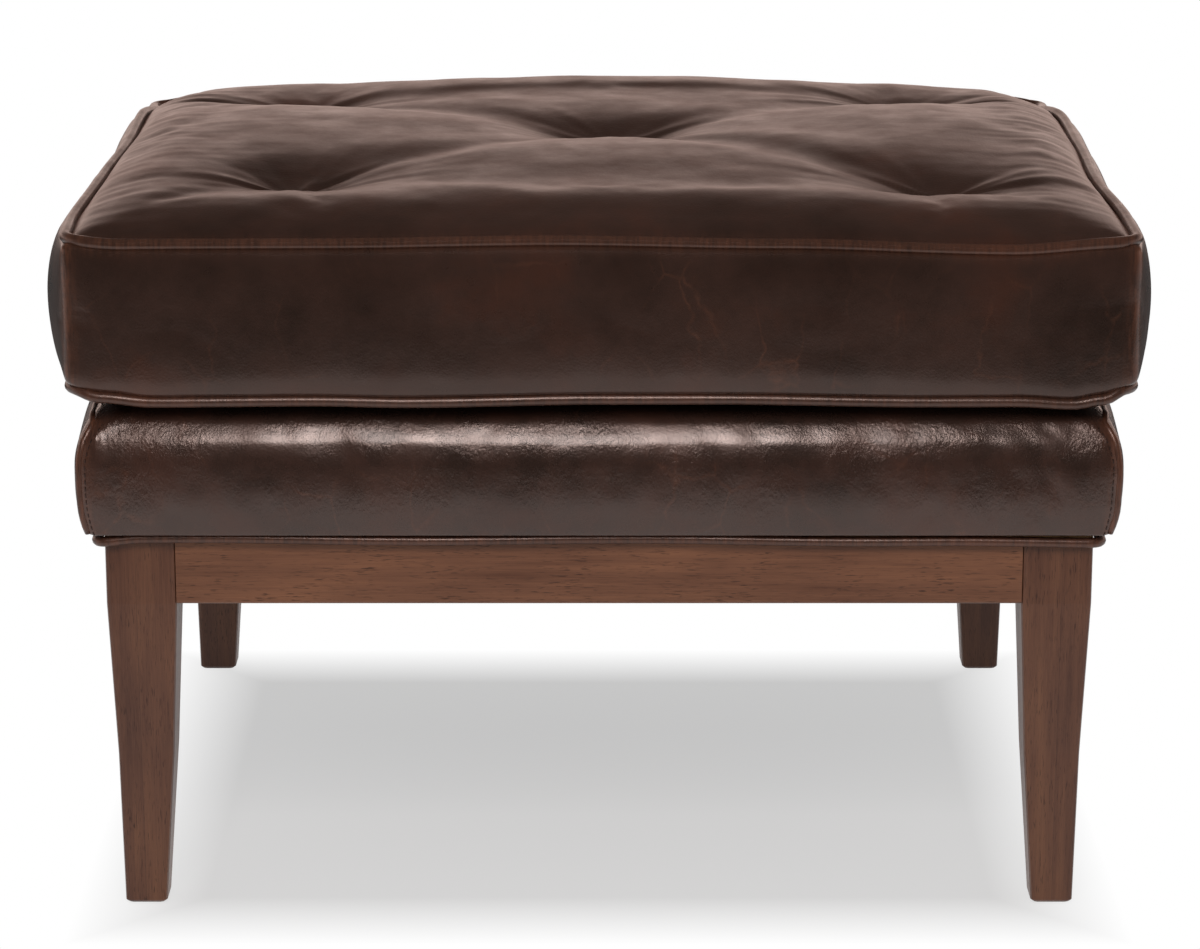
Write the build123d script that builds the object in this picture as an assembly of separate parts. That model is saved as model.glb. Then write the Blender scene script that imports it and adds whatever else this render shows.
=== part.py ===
"""Tufted footstool: a loose boxed cushion on an upholstered deck and a wooden base.

Millimetres, +Z up, the front faces -Y. The origin is on the floor, under the middle.
"""
import math
import os

from build123d import *

os.makedirs("parts", exist_ok=True)

# Wooden base
base_width = 674.0
base_depth = 579.0
base_height = 265.0
leg_top_side = 48.0
leg_foot_side = 29.0
leg_outer_draw = 6.0
leg_outer_draw_share = 0.72
leg_edge_radius = 3.0
leg_foot_bevel = 2.0
rail_height = 44.0
rail_thickness = 22.0
rail_edge_radius = 2.0

# Joinery of the base
joint_clearance = 0.1
tenon_length = 22.0
tenon_thickness = 10.0
tenon_height = 30.0
corner_block_reach = 64.0
corner_block_height = 32.0
corner_block_drop = 1.0
bolt_radius = 3.0
bolt_bite = 24.0
bolt_head_radius = 7.0
bolt_head_height = 4.0
screw_radius = 2.5
screw_head_radius = 5.5
screw_head_height = 3.0
screw_bite = 20.0
screw_inset = 13.0
hole_clearance = 0.2

# Glides under the feet
glide_radius = 9.5
glide_thickness = 1.0
glide_pin_radius = 1.5
glide_pin_length = 14.0

# Leather and the loose play of soft pieces
leather_thickness = 1.5
soft_clearance = 0.3
seam_gap = 0.2
cut_overrun = 5.0

# Deck, the fixed upholstered box
deck_height = 101.0
deck_swell = 16.0
deck_top_draw = 36.0
deck_low_draw = 9.0
deck_end_bow = 12.0
deck_front_bow = 2.0
deck_corner_radius = 10.0
deck_top_corner_radius = 40.0
deck_seam_row = 6
deck_height_shares = (0.0, 0.08, 0.19, 0.32, 0.57, 0.73, 0.85, 0.94, 1.0)
deck_low_draw_shares = (1.0, 0.5, 0.17, 0.0, 0.0, 0.0, 0.0, 0.0, 0.0)
deck_top_draw_shares = (0.0, 0.0, 0.0, 0.0, 0.0, 0.08, 0.25, 0.52, 1.0)
deck_bow_shares = (0.0, 0.4, 0.75, 1.0, 1.0, 0.85, 0.6, 0.3, 0.0)
deck_flange = 15.0
deck_frame_height = 55.0
deck_frame_thickness = 22.0
deck_block_reach = 50.0
deck_block_height = 30.0
deck_welt_radius = 3.5
deck_welt_corner = 12.0
end_welt_radius = 2.5
end_welt_stand = 1.2
dust_cover_thickness = 0.8

# Webbing under the deck foam
webbing_width = 50.0
webbing_thickness = 1.2
webbing_play = 0.1
webbing_end_inset = 4.0
long_webbing_count = 5
cross_webbing_count = 4

# Cushion, which overhangs the base on all sides
cushion_overhang = 20.5
boxing_height = 106.7
crown_height = 33.0
crown_shoulder = 170.0
cushion_welt_radius = 4.0
welt_corner_radius = 22.0
welt_tail_width = 9.0
welt_tail_thickness = 1.6
boxing_swell = 9.5
boxing_side_bow = 17.0
boxing_front_bow = 4.7
boxing_corner_radius = 10.0
boxing_height_shares = (0.0, 0.19, 0.38, 0.62, 0.81, 1.0)
boxing_swell_shares = (0.02, 0.62, 1.0, 1.0, 0.62, 0.02)
crown_height_shares = (0.0, 0.25, 0.46, 0.65, 0.80, 0.92, 1.0)
crown_inset_shares = (0.0, 0.035, 0.10, 0.21, 0.39, 0.65, 1.0)
crown_corner_share = 0.55

# Tufts
tuft_pitch_x = 448.0
tuft_pitch_y = 344.0
tuft_depth = 27.0
tuft_spread = 80.0
tuft_pinch_radius = 2.5
tuft_line = 26.0
tuft_rise = 0.5
twine_radius = 1.0
twine_hole_radius = 2.5
washer_side = 25.0
washer_thickness = 2.0

# Zip along the back of the cushion
zip_end_inset = 77.5
zip_slot_height = 12.0
zip_tape_height = 24.0
zip_tape_thickness = 0.8
zip_tape_drop = 0.8
zip_chain_height = 5.0
zip_chain_thickness = 2.0
slider_length = 11.0
slider_height = 9.0
slider_plate = 1.5
slider_clearance = 0.3
slider_end_gap = 8.0
bridge_length = 7.0
bridge_height = 3.2
bridge_width = 2.4
bridge_bar = 1.0
pull_pin_radius = 0.6
pull_arm_width = 1.4
pull_eye_length = 6.0
pull_length = 24.0
pull_width = 7.0
pull_thickness = 1.4

# Facets along the bowed sides, round the corners, the cords and the tufts
bow_steps = 4
soft_bends = 4
leg_bends = 2
cord_sides = 12
twine_sides = 6
tuft_sides = 12
tuft_steps = 3
hexagon_sides = 6

# Levels and lines that several pieces share
half_width = base_width / 2
half_depth = base_depth / 2
rail_bottom = base_height - rail_height
deck_top = base_height + deck_height
deck_tuck = base_height + 2 * deck_welt_radius + joint_clearance
deck_neck_corner = deck_welt_corner - 2 * deck_welt_radius - joint_clearance
deck_seam_level = deck_tuck + (deck_top - deck_tuck) * deck_height_shares[deck_seam_row]
deck_frame_bottom = base_height + leather_thickness
deck_frame_top = deck_frame_bottom + deck_frame_height
deck_foam_bottom = deck_frame_top + 2 * (webbing_thickness + webbing_play)
cushion_width = base_width + 2 * cushion_overhang
cushion_depth = base_depth + 2 * cushion_overhang
zip_length = cushion_width - 2 * zip_end_inset
cushion_bottom = deck_top + soft_clearance
lower_welt_level = cushion_bottom + cushion_welt_radius
lower_tail_bottom = cushion_bottom + leather_thickness
boxing_bottom = lower_tail_bottom + welt_tail_thickness
upper_welt_level = lower_welt_level + boxing_height
boxing_top = upper_welt_level - welt_tail_thickness / 2
crown_bottom = upper_welt_level + welt_tail_thickness / 2
crown_top = crown_bottom + crown_height
seam_half_width = cushion_width / 2 - 2 * cushion_welt_radius
seam_half_depth = cushion_depth / 2 - 2 * cushion_welt_radius
zip_level = (boxing_bottom + boxing_top) / 2
back_face = seam_half_depth + boxing_swell
tuft_floor = crown_top + tuft_rise - tuft_depth
tuft_places = [
    (0.0, 0.0),
    (-tuft_pitch_x / 2, -tuft_pitch_y / 2),
    (tuft_pitch_x / 2, -tuft_pitch_y / 2),
    (-tuft_pitch_x / 2, tuft_pitch_y / 2),
    (tuft_pitch_x / 2, tuft_pitch_y / 2),
]


def write(name, shape):
    # one STEP file for each named piece
    export_step(shape, f"parts/{name}.step")


def slab(low, high):
    # a box between two opposite corners
    size = [b - a for a, b in zip(low, high)]
    middle = [(a + b) / 2 for a, b in zip(low, high)]
    return Pos(*middle) * Box(*size)


def rod(x, y, bottom, top, radius):
    # an upright cylinder between two levels
    return Pos(x, y, (bottom + top) / 2) * Cylinder(radius, top - bottom)


def prism(x, y, bottom, top, radius, sides):
    # an upright rod with flat sides between two levels
    return extrude(Pos(x, y, bottom) * RegularPolygon(radius, sides), top - bottom)


def ring(x, y, corner, level, bows=(0, 0, 0), steps=1, bends=soft_bends):
    # points round a rectangle with rounded corners; its front, sides and back may bow outwards
    front_bow, side_bow, back_bow = bows
    points = []
    for turn, (reach, half, bow) in enumerate(
        [(y, x, front_bow), (x, y, side_bow), (y, x, back_bow), (x, y, side_bow)]
    ):
        straight = half - corner
        outline = []
        for i in range(steps + 1):
            along = 2 * i / steps - 1
            outline.append((straight * along, -reach - bow * (1 - along ** 2)))
        for i in range(1, bends):
            angle = math.pi / 2 * i / bends
            outline.append(
                (straight + corner * math.sin(angle), corner * (1 - math.cos(angle)) - reach)
            )
        for u, v in outline:
            for _ in range(turn):
                u, v = -v, u
            points.append((u, v, level))
    return points


def skin(rings, closed=False):
    # a solid of flat facets through rings of as many points each
    pairs = list(zip(rings, rings[1:]))
    if closed:
        pairs.append((rings[-1], rings[0]))
        faces = []
    else:
        faces = [facet(rings[0]), facet(rings[-1])]
    for low, high in pairs:
        for i in range(len(low)):
            faces.append(facet((low[i - 1], low[i], high[i])))
            faces.append(facet((low[i - 1], high[i], high[i - 1])))
    return Solid(Shell(faces)).clean()


def facet(points):
    return Face(Wire.make_polygon(points))


def cord(x, y, corner, level, section):
    # a closed ring with the given section; x, y and corner follow the middle of the cord
    return skin([ring(x + out, y + out, corner + out, level + up) for out, up in section], closed=True)


def round_section(radius):
    angles = [2 * math.pi * i / cord_sides for i in range(cord_sides)]
    return [(radius * math.cos(angle), radius * math.sin(angle)) for angle in angles]


def to_corner(shape, side, end):
    # the front right corner's piece, mirrored to another corner
    if side < 0:
        shape = mirror(shape, about=Plane.YZ)
    if end > 0:
        shape = mirror(shape, about=Plane.XZ)
    return shape


corners = [("front_right", 1, -1), ("front_left", -1, -1), ("rear_right", 1, 1), ("rear_left", -1, 1)]


# Legs and rails
def leg_ring(level, outer_draw, side):
    # one level of the leg: its outer faces are drawn in, and its inner ones follow
    centre = outer_draw + side / 2
    points = ring(side / 2, side / 2, leg_edge_radius, level, bends=leg_bends)
    return [(half_width - centre + x, centre - half_depth + y, z) for x, y, z in points]


def leg_solid():
    # square where the rails join, then tapered on all four faces
    middle = (rail_bottom + glide_thickness) / 2
    middle_draw = leg_outer_draw * leg_outer_draw_share
    bevel_side = leg_foot_side - 2 * leg_foot_bevel
    rings = [
        leg_ring(glide_thickness, leg_outer_draw + leg_foot_bevel, bevel_side),
        leg_ring(glide_thickness + leg_foot_bevel, leg_outer_draw, leg_foot_side),
        leg_ring(middle, middle_draw, (leg_top_side + leg_foot_side) / 2),
        leg_ring(rail_bottom, 0, leg_top_side),
        leg_ring(base_height, 0, leg_top_side),
    ]
    leg = skin(rings)
    for mortise in tenon_boxes(joint_clearance):
        leg -= mortise
    leg -= corner_bolt(hole_clearance)
    foot = foot_centre()
    pin_top = glide_thickness + glide_pin_length + joint_clearance
    leg -= prism(foot[0], foot[1], 0, pin_top, glide_pin_radius + joint_clearance, hexagon_sides)
    return leg


def foot_centre():
    centre = leg_outer_draw + leg_foot_side / 2
    return half_width - centre, centre - half_depth


def tenon_boxes(clearance):
    # the two tenons that meet the front right leg, with room all round for glue
    low = base_height - (rail_height + tenon_height) / 2 - clearance
    high = low + tenon_height + 2 * clearance
    depth = tenon_length + clearance
    shoulder_x = half_width - leg_top_side
    shoulder_y = leg_top_side - half_depth
    cheek = (rail_thickness - tenon_thickness) / 2 - clearance
    width = tenon_thickness + 2 * clearance
    along_x = slab(
        (shoulder_x, cheek - half_depth, low),
        (shoulder_x + depth, cheek - half_depth + width, high),
    )
    along_y = slab(
        (half_width - cheek - width, shoulder_y - depth, low),
        (half_width - cheek, shoulder_y, high),
    )
    return along_x, along_y


def rail_solid(length):
    # a rail along X with its outer face on the XZ plane and a tenon at each end
    body = slab((-length / 2, 0, 0), (length / 2, rail_thickness, rail_height))
    lower = body.edges().filter_by(Axis.X).sort_by(Axis.Z)[:2]
    body = fillet(lower, rail_edge_radius)
    cheek = (rail_thickness - tenon_thickness) / 2
    shoulder = (rail_height - tenon_height) / 2
    reach = length / 2 + tenon_length
    tenon = slab(
        (-reach, cheek, shoulder),
        (reach, cheek + tenon_thickness, shoulder + tenon_height),
    )
    return body + tenon


# Corner blocks, bolts and screws of the base
def corner_block_outline(reach):
    # a triangle across the corner, notched for the leg
    leg_x = half_width - leg_top_side
    leg_y = leg_top_side - half_depth
    rail_x = half_width - rail_thickness
    rail_y = rail_thickness - half_depth
    return Polyline(
        (leg_x, rail_y),
        (leg_x - reach, rail_y),
        (rail_x, leg_y + reach),
        (rail_x, leg_y),
        (leg_x, leg_y),
        close=True,
    )


def corner_block():
    top = base_height - corner_block_drop
    outline = Pos(0, 0, top - corner_block_height) * make_face(corner_block_outline(corner_block_reach))
    block = extrude(outline, corner_block_height)
    block -= corner_bolt(hole_clearance)
    block -= fixing_screw(hole_clearance)
    return block


def corner_bolt(clearance):
    # from the block's slanting face, through the leg's inner corner
    leg_x = half_width - leg_top_side
    leg_y = leg_top_side - half_depth
    rail_inset = leg_top_side - rail_thickness
    face_offset = (corner_block_reach - rail_inset) / 2
    level = base_height - corner_block_drop - corner_block_height / 2
    run = face_offset * math.sqrt(2)
    plane = Plane(
        origin=(leg_x - face_offset, leg_y + face_offset, level),
        x_dir=(0, 0, 1),
        z_dir=(1, -1, 0),
    )
    shank_length = run + bolt_bite + clearance
    shank = plane * Pos(0, 0, shank_length / 2) * Cylinder(bolt_radius + clearance, shank_length)
    if clearance > 0:
        return shank
    head = Pos(0, 0, -bolt_head_height) * RegularPolygon(bolt_head_radius, hexagon_sides)
    return shank + extrude(plane * head, bolt_head_height)


def fixing_screw(clearance):
    # up through the corner block into the deck's own corner block
    x = half_width - leg_top_side - corner_block_reach / 2
    y = rail_thickness - half_depth + screw_inset
    bottom = base_height - corner_block_drop - corner_block_height
    top = deck_frame_bottom + screw_bite + clearance
    shank = rod(x, y, bottom, top, screw_radius + clearance)
    if clearance > 0:
        return shank
    return shank + prism(x, y, bottom - screw_head_height, bottom, screw_head_radius, hexagon_sides)


def glide():
    # a flat nylon disc on a short pin
    x, y = foot_centre()
    disc = rod(x, y, 0, glide_thickness, glide_radius)
    pin_top = glide_thickness + glide_pin_length
    return disc + prism(x, y, glide_thickness, pin_top, glide_pin_radius, hexagon_sides)


# Deck: the form that the leather, the foam and the frame share
def deck_ring(row, inset):
    # one level of the puffed body above the bottom welt
    high = deck_top_draw_shares[row]
    grow = deck_swell - deck_low_draw * deck_low_draw_shares[row] - deck_top_draw * high - inset
    corner = deck_corner_radius + (deck_top_corner_radius - deck_corner_radius) * high - inset
    level = deck_tuck + inset + (deck_top - deck_tuck - 2 * inset) * deck_height_shares[row]
    front_bow = deck_front_bow * deck_bow_shares[row]
    end_bow = deck_end_bow * deck_bow_shares[row]
    bows = (front_bow, end_bow, front_bow)
    return ring(half_width + grow, half_depth + grow, corner, level, bows, bow_steps)


def deck_form(inset):
    # a neck as wide as the frame, then the puffed body above the bottom welt
    neck_x = half_width + leather_thickness - inset
    neck_y = half_depth + leather_thickness - inset
    rings = []
    for level in (base_height + inset, deck_tuck + inset):
        rings.append(ring(neck_x, neck_y, deck_neck_corner - inset, level, steps=bow_steps))
    for row in range(len(deck_height_shares)):
        rings.append(deck_ring(row, inset))
    return skin(rings)


def end_wedge(gap):
    # what lies between the corner seams of the deck's right end and below its top seam
    apex = half_width - half_depth + gap * math.sqrt(2)
    reach = half_depth + deck_swell + deck_end_bow + cut_overrun
    outline = Polyline((apex, 0), (apex + reach, -reach), (apex + reach, reach), close=True)
    return extrude(make_face(outline), deck_seam_level - gap)


def deck_welt():
    # the welt round the bottom edge, level with the top of the base
    reach = leather_thickness + joint_clearance + deck_welt_radius
    return cord(
        half_width + reach,
        half_depth + reach,
        deck_welt_corner - deck_welt_radius,
        base_height + deck_welt_radius,
        round_section(deck_welt_radius),
    )


def end_welt():
    # up the front corner of the right end, back along its top seam and down the rear corner
    corner = bow_steps + soft_bends // 2
    rise = [deck_ring(row, -end_welt_stand)[corner] for row in range(deck_seam_row)]
    rise[0] = (*rise[0][:2], rise[0][2] + end_welt_radius + end_welt_stand)
    top_ring = deck_ring(deck_seam_row, -end_welt_stand)
    first = bow_steps + soft_bends
    last = first + bow_steps
    fall = [(x, -y, z) for x, y, z in reversed(rise)]
    path = Polyline(*rise, *top_ring[first:last + 1], *fall)
    start = Plane(origin=path @ 0, z_dir=path % 0)
    section = start * RegularPolygon(end_welt_radius, cord_sides)
    return sweep(section, path=path, transition=Transition.RIGHT)


# Webbing
def strap(length, crossings, first_over):
    # a woven strap along X, from the frame's edge over and under its neighbours
    lift = webbing_thickness + webbing_play
    half_ramp = webbing_width / 2
    lower = [(-length / 2, 0)]
    over = first_over
    for place in crossings:
        height = lift if over else 0
        lower.append((place - half_ramp, height))
        lower.append((place + half_ramp, height))
        over = not over
    lower.append((length / 2, 0))
    upper = [(x, z + webbing_thickness) for x, z in reversed(lower)]
    profile = Plane.XZ * make_face(Polyline(*lower, *upper, close=True))
    return Pos(0, webbing_width / 2, deck_frame_top) * extrude(profile, webbing_width)


def spread_places(count, span):
    # middles of equal shares of a span
    return [span * ((i + 0.5) / count - 0.5) for i in range(count)]


def webbing():
    long_places = spread_places(long_webbing_count, base_width - 2 * deck_frame_thickness)
    cross_places = spread_places(cross_webbing_count, base_depth - 2 * deck_frame_thickness)
    long_length = base_depth - 2 * webbing_end_inset
    cross_length = base_width - 2 * webbing_end_inset
    long_straps = []
    for i, x in enumerate(long_places):
        long_straps.append(Pos(x, 0, 0) * Rot(0, 0, 90) * strap(long_length, cross_places, i % 2 == 0))
    cross_straps = []
    for i, y in enumerate(cross_places):
        cross_straps.append(Pos(0, y, 0) * strap(cross_length, long_places, i % 2 == 1))
    return long_straps, cross_straps


# Cushion forms
def boxing_ring(row, inset):
    # one level of the boxing: bowed front and sides, a straight back for the zip
    swell_share = boxing_swell_shares[row]
    grow = boxing_swell * swell_share - inset
    level = boxing_bottom + (boxing_top - boxing_bottom) * boxing_height_shares[row]
    bows = (boxing_front_bow * swell_share, boxing_side_bow * swell_share, 0)
    x = seam_half_width + grow
    y = seam_half_depth + grow
    return ring(x, y, boxing_corner_radius - inset, level, bows, bow_steps)


def boxing_form(inset):
    return skin([boxing_ring(row, inset) for row in range(len(boxing_height_shares))])


def crown_ring(share, inset_share, inset):
    draw = crown_shoulder * inset_share
    corner = welt_corner_radius - 2 * cushion_welt_radius + draw * crown_corner_share - inset
    level = crown_bottom + (crown_height - inset) * share
    return ring(seam_half_width - draw - inset, seam_half_depth - draw - inset, corner, level)


def tuft_hollow(inset):
    # the hollow round a tuft: a short line at the pinch, steep there and level where it runs out
    run = tuft_spread - tuft_pinch_radius
    radius = (run ** 2 + tuft_depth ** 2) / (2 * tuft_depth)
    centre = crown_top + tuft_rise - radius
    radius -= inset
    steepest = math.acos((tuft_floor - inset - centre) / radius)
    rings = []
    for i in range(tuft_steps + 1):
        left = 1 - i / tuft_steps
        angle = steepest * left
        across = tuft_spread - radius * math.sin(angle)
        rings.append(oval(across + tuft_line * left, across, centre + radius * math.cos(angle)))
    rings.append(oval(tuft_spread, tuft_spread, crown_top + tuft_depth))
    return skin(rings)


def oval(x, y, level):
    angles = [2 * math.pi * i / tuft_sides for i in range(tuft_sides)]
    return [(x * math.cos(angle), y * math.sin(angle), level) for angle in angles]


def crown_form(inset):
    # the puffed top between the welt and the tufts
    shares = zip(crown_height_shares, crown_inset_shares)
    form = skin([crown_ring(share, draw, inset) for share, draw in shares])
    hollow = tuft_hollow(inset)
    for x, y in tuft_places:
        form -= Pos(x, y, 0) * hollow
    return form


def cushion_welt(level, tail_bottom):
    # a corded welt with the flat tail that is sewn into the seam
    low = tail_bottom - level
    high = low + welt_tail_thickness
    start = math.pi - math.asin(high / cushion_welt_radius)
    end = -math.pi - math.asin(low / cushion_welt_radius)
    section = []
    for i in range(cord_sides):
        angle = start + (end - start) * i / (cord_sides - 1)
        section.append((cushion_welt_radius * math.cos(angle), cushion_welt_radius * math.sin(angle)))
    tail = cushion_welt_radius + welt_tail_width
    section += [(-tail, low), (-tail, high)]
    return cord(
        cushion_width / 2 - cushion_welt_radius,
        cushion_depth / 2 - cushion_welt_radius,
        welt_corner_radius - cushion_welt_radius,
        level,
        section,
    )


def inner_slab(bottom, top):
    # fills the space inside the welts' tails
    inset = welt_tail_width + soft_clearance
    corner = welt_corner_radius - 2 * cushion_welt_radius - inset
    x = seam_half_width - inset
    y = seam_half_depth - inset
    return skin([ring(x, y, corner, bottom), ring(x, y, corner, top)])


def boxing_sector(turn):
    # the part of the plan between two corner seams, turned to one side
    x = cushion_width / 2
    y = cushion_depth / 2
    margin = boxing_side_bow + boxing_swell
    inner = welt_tail_width + margin
    top = boxing_top + cut_overrun
    bottom = boxing_bottom - cut_overrun
    gap = seam_gap / 2
    if turn in ("front", "back"):
        sign = -1 if turn == "front" else 1
        outline = Polyline(
            (-x - margin + gap, sign * (y + margin)),
            (x + margin - gap, sign * (y + margin)),
            (x - inner - gap, sign * (y - inner)),
            (-x + inner + gap, sign * (y - inner)),
            close=True,
        )
    else:
        sign = -1 if turn == "left" else 1
        outline = Polyline(
            (sign * (x + margin), -y - margin + gap),
            (sign * (x + margin), y + margin - gap),
            (sign * (x - inner), y - inner - gap),
            (sign * (x - inner), -y + inner + gap),
            close=True,
        )
    return extrude(Pos(0, 0, bottom) * make_face(outline), top - bottom)


def along_back(half_length, inner_y, outer_y, height):
    # a bar along the back face at the level of the zip
    return slab(
        (-half_length, inner_y, zip_level - height / 2),
        (half_length, outer_y, zip_level + height / 2),
    )


# Zip slider and pull
tape_outer = back_face - leather_thickness - zip_tape_drop
chain_outer = tape_outer + zip_chain_thickness
slider_outer = chain_outer + slider_clearance + slider_plate
slider_x = zip_length / 2 - slider_end_gap
pull_pin_y = slider_outer + (bridge_height - bridge_bar) / 2


def zip_slider():
    # a saddle over the chain with a small bridge for the pull
    half = slider_length / 2
    plate = along_back(half, chain_outer + slider_clearance, slider_outer, slider_height)
    groove = zip_chain_height + 2 * slider_clearance
    cheeks = along_back(half, tape_outer + slider_clearance, slider_outer, slider_height)
    cheeks -= along_back(half, tape_outer, chain_outer + slider_clearance, groove)
    bridge = along_back(bridge_length / 2, slider_outer, slider_outer + bridge_height, bridge_width)
    bridge -= along_back(
        bridge_length / 2 - bridge_bar,
        slider_outer,
        slider_outer + bridge_height - bridge_bar,
        bridge_width,
    )
    return Pos(slider_x, 0, 0) * (plate + cheeks + bridge)


def zip_pull():
    # a tab whose end pin passes under the bridge
    half = pull_thickness / 2
    low = pull_pin_y - half
    high = pull_pin_y + half
    plate = slab((-pull_length, low, -pull_width / 2), (0, high, pull_width / 2))
    eye = pull_width - 2 * pull_arm_width
    plate -= slab((-pull_eye_length, low, -eye / 2), (0, high, eye / 2))
    pin = Pos(0, pull_pin_y, 0) * Cylinder(pull_pin_radius, pull_width)
    knuckle = Pos(0, pull_pin_y, 0) * Cylinder(half, pull_width)
    knuckle -= slab((-half, low, -eye / 2), (half, high, eye / 2))
    return Pos(slider_x, 0, zip_level) * (plate + knuckle + pin)


# Base
leg = leg_solid()
block = corner_block()
bolts = []
screws = []
glides = []
for name, side, end in corners:
    write(f"leg_{name}", to_corner(leg, side, end))
    write(f"corner_block_{name}", to_corner(block, side, end))
    bolts.append(to_corner(corner_bolt(0), side, end))
    screws.append(to_corner(fixing_screw(0), side, end))
    glides.append(to_corner(glide(), side, end))
write("corner_bolts", Compound(children=bolts))
write("deck_fixing_screws", Compound(children=screws))
write("leg_glides", Compound(children=glides))

long_rail = rail_solid(base_width - 2 * leg_top_side)
short_rail = rail_solid(base_depth - 2 * leg_top_side)
write("rail_front", Pos(0, -half_depth, rail_bottom) * long_rail)
write("rail_rear", Pos(0, half_depth, rail_bottom) * Rot(0, 0, 180) * long_rail)
write("rail_left", Pos(-half_width, 0, rail_bottom) * Rot(0, 0, -90) * short_rail)
write("rail_right", Pos(half_width, 0, rail_bottom) * Rot(0, 0, 90) * short_rail)

# Deck frame
frame_corner = deck_neck_corner - leather_thickness
frame_form = skin(
    [
        ring(half_width, half_depth, frame_corner, deck_frame_bottom),
        ring(half_width, half_depth, frame_corner, deck_frame_top),
    ]
)
inner_x = half_width - deck_frame_thickness
inner_y = half_depth - deck_frame_thickness
front_bar = frame_form & slab((-half_width, -half_depth, 0), (half_width, -inner_y, deck_frame_top))
side_bar = slab((inner_x, -inner_y, deck_frame_bottom), (half_width, inner_y, deck_frame_top))
write("deck_rail_front", front_bar)
write("deck_rail_rear", mirror(front_bar, about=Plane.XZ))
write("deck_rail_right", side_bar)
write("deck_rail_left", mirror(side_bar, about=Plane.YZ))
block_outline = Polyline(
    (inner_x, -inner_y),
    (inner_x - leg_top_side - deck_block_reach, -inner_y),
    (inner_x, leg_top_side + deck_block_reach - inner_y),
    close=True,
)
deck_block = extrude(Pos(0, 0, deck_frame_bottom) * make_face(block_outline), deck_block_height)
deck_block -= fixing_screw(hole_clearance)
deck_blocks = [to_corner(deck_block, side, end) for _, side, end in corners]
write("deck_frame_blocks", Compound(children=deck_blocks))

long_straps, cross_straps = webbing()
write("webbing_lengthwise", Compound(children=long_straps))
write("webbing_crosswise", Compound(children=cross_straps))

# Deck foam
foam_form = deck_form(leather_thickness + soft_clearance)
span_x = half_width + deck_swell + deck_end_bow
span_y = half_depth + deck_swell + deck_front_bow
foam_low = deck_tuck + leather_thickness + soft_clearance
foam_slab = foam_form & slab((-span_x, -span_y, deck_foam_bottom), (span_x, span_y, deck_top))
side_welt = end_welt()
far_welt = mirror(side_welt, about=Plane.YZ)
write("deck_foam_slab", foam_slab - side_welt - far_welt)
border_top = deck_foam_bottom - soft_clearance
front_span = slab((-half_width, -span_y, foam_low), (half_width, -half_depth, border_top))
side_span = slab((half_width, -span_y, foam_low), (span_x, span_y, border_top))
write("deck_foam_front", foam_form & front_span)
write("deck_foam_rear", foam_form & mirror(front_span, about=Plane.XZ))
write("deck_foam_right", (foam_form & side_span) - side_welt)
write("deck_foam_left", (foam_form & mirror(side_span, about=Plane.YZ)) - far_welt)

# Deck leather, its welts and the dust cover
under_x = half_width - deck_flange
under_y = half_depth - deck_flange
deck_shell = deck_form(0) - deck_form(leather_thickness)
deck_shell -= slab((-under_x, -under_y, 0), (under_x, under_y, deck_frame_bottom + soft_clearance))
wedge = end_wedge(-seam_gap / 2)
wrap = deck_shell - wedge - mirror(wedge, about=Plane.YZ) - side_welt - far_welt
write("deck_leather_wrap", wrap)
wedge = end_wedge(seam_gap / 2)
write("deck_leather_right", (deck_shell & wedge) - side_welt)
write("deck_leather_left", (deck_shell & mirror(wedge, about=Plane.YZ)) - far_welt)
write("deck_welt_bottom", deck_welt())
write("deck_welt_right", side_welt)
write("deck_welt_left", far_welt)
dust_x = under_x - soft_clearance
dust_y = under_y - soft_clearance
dust_cover = slab(
    (-dust_x, -dust_y, deck_frame_bottom - dust_cover_thickness),
    (dust_x, dust_y, deck_frame_bottom),
)
for _, side, end in corners:
    dust_cover -= to_corner(fixing_screw(hole_clearance), side, end)
write("dust_cover", dust_cover)

# Cushion skins and welts
upper_welt = cushion_welt(upper_welt_level, boxing_top)
lower_welt = cushion_welt(lower_welt_level, lower_tail_bottom)
write("cushion_welt_top", upper_welt)
write("cushion_welt_bottom", lower_welt)
top_panel = crown_form(0) - crown_form(leather_thickness) - upper_welt
write("cushion_top_panel", top_panel)
panel_corner = welt_corner_radius - 2 * cushion_welt_radius
bottom_panel = skin(
    [
        ring(seam_half_width, seam_half_depth, panel_corner, cushion_bottom),
        ring(seam_half_width, seam_half_depth, panel_corner, lower_tail_bottom),
    ]
)
write("cushion_bottom_panel", bottom_panel - lower_welt)
boxing_shell = boxing_form(0) - boxing_form(leather_thickness) - upper_welt - lower_welt
for turn in ("front", "left", "right"):
    write(f"cushion_boxing_{turn}", boxing_shell & boxing_sector(turn))
back = boxing_shell & boxing_sector("back")
slot_inner = back_face - leather_thickness - cut_overrun
back -= along_back(zip_length / 2, slot_inner, back_face + cut_overrun, zip_slot_height)
write("cushion_boxing_back", back)

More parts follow.
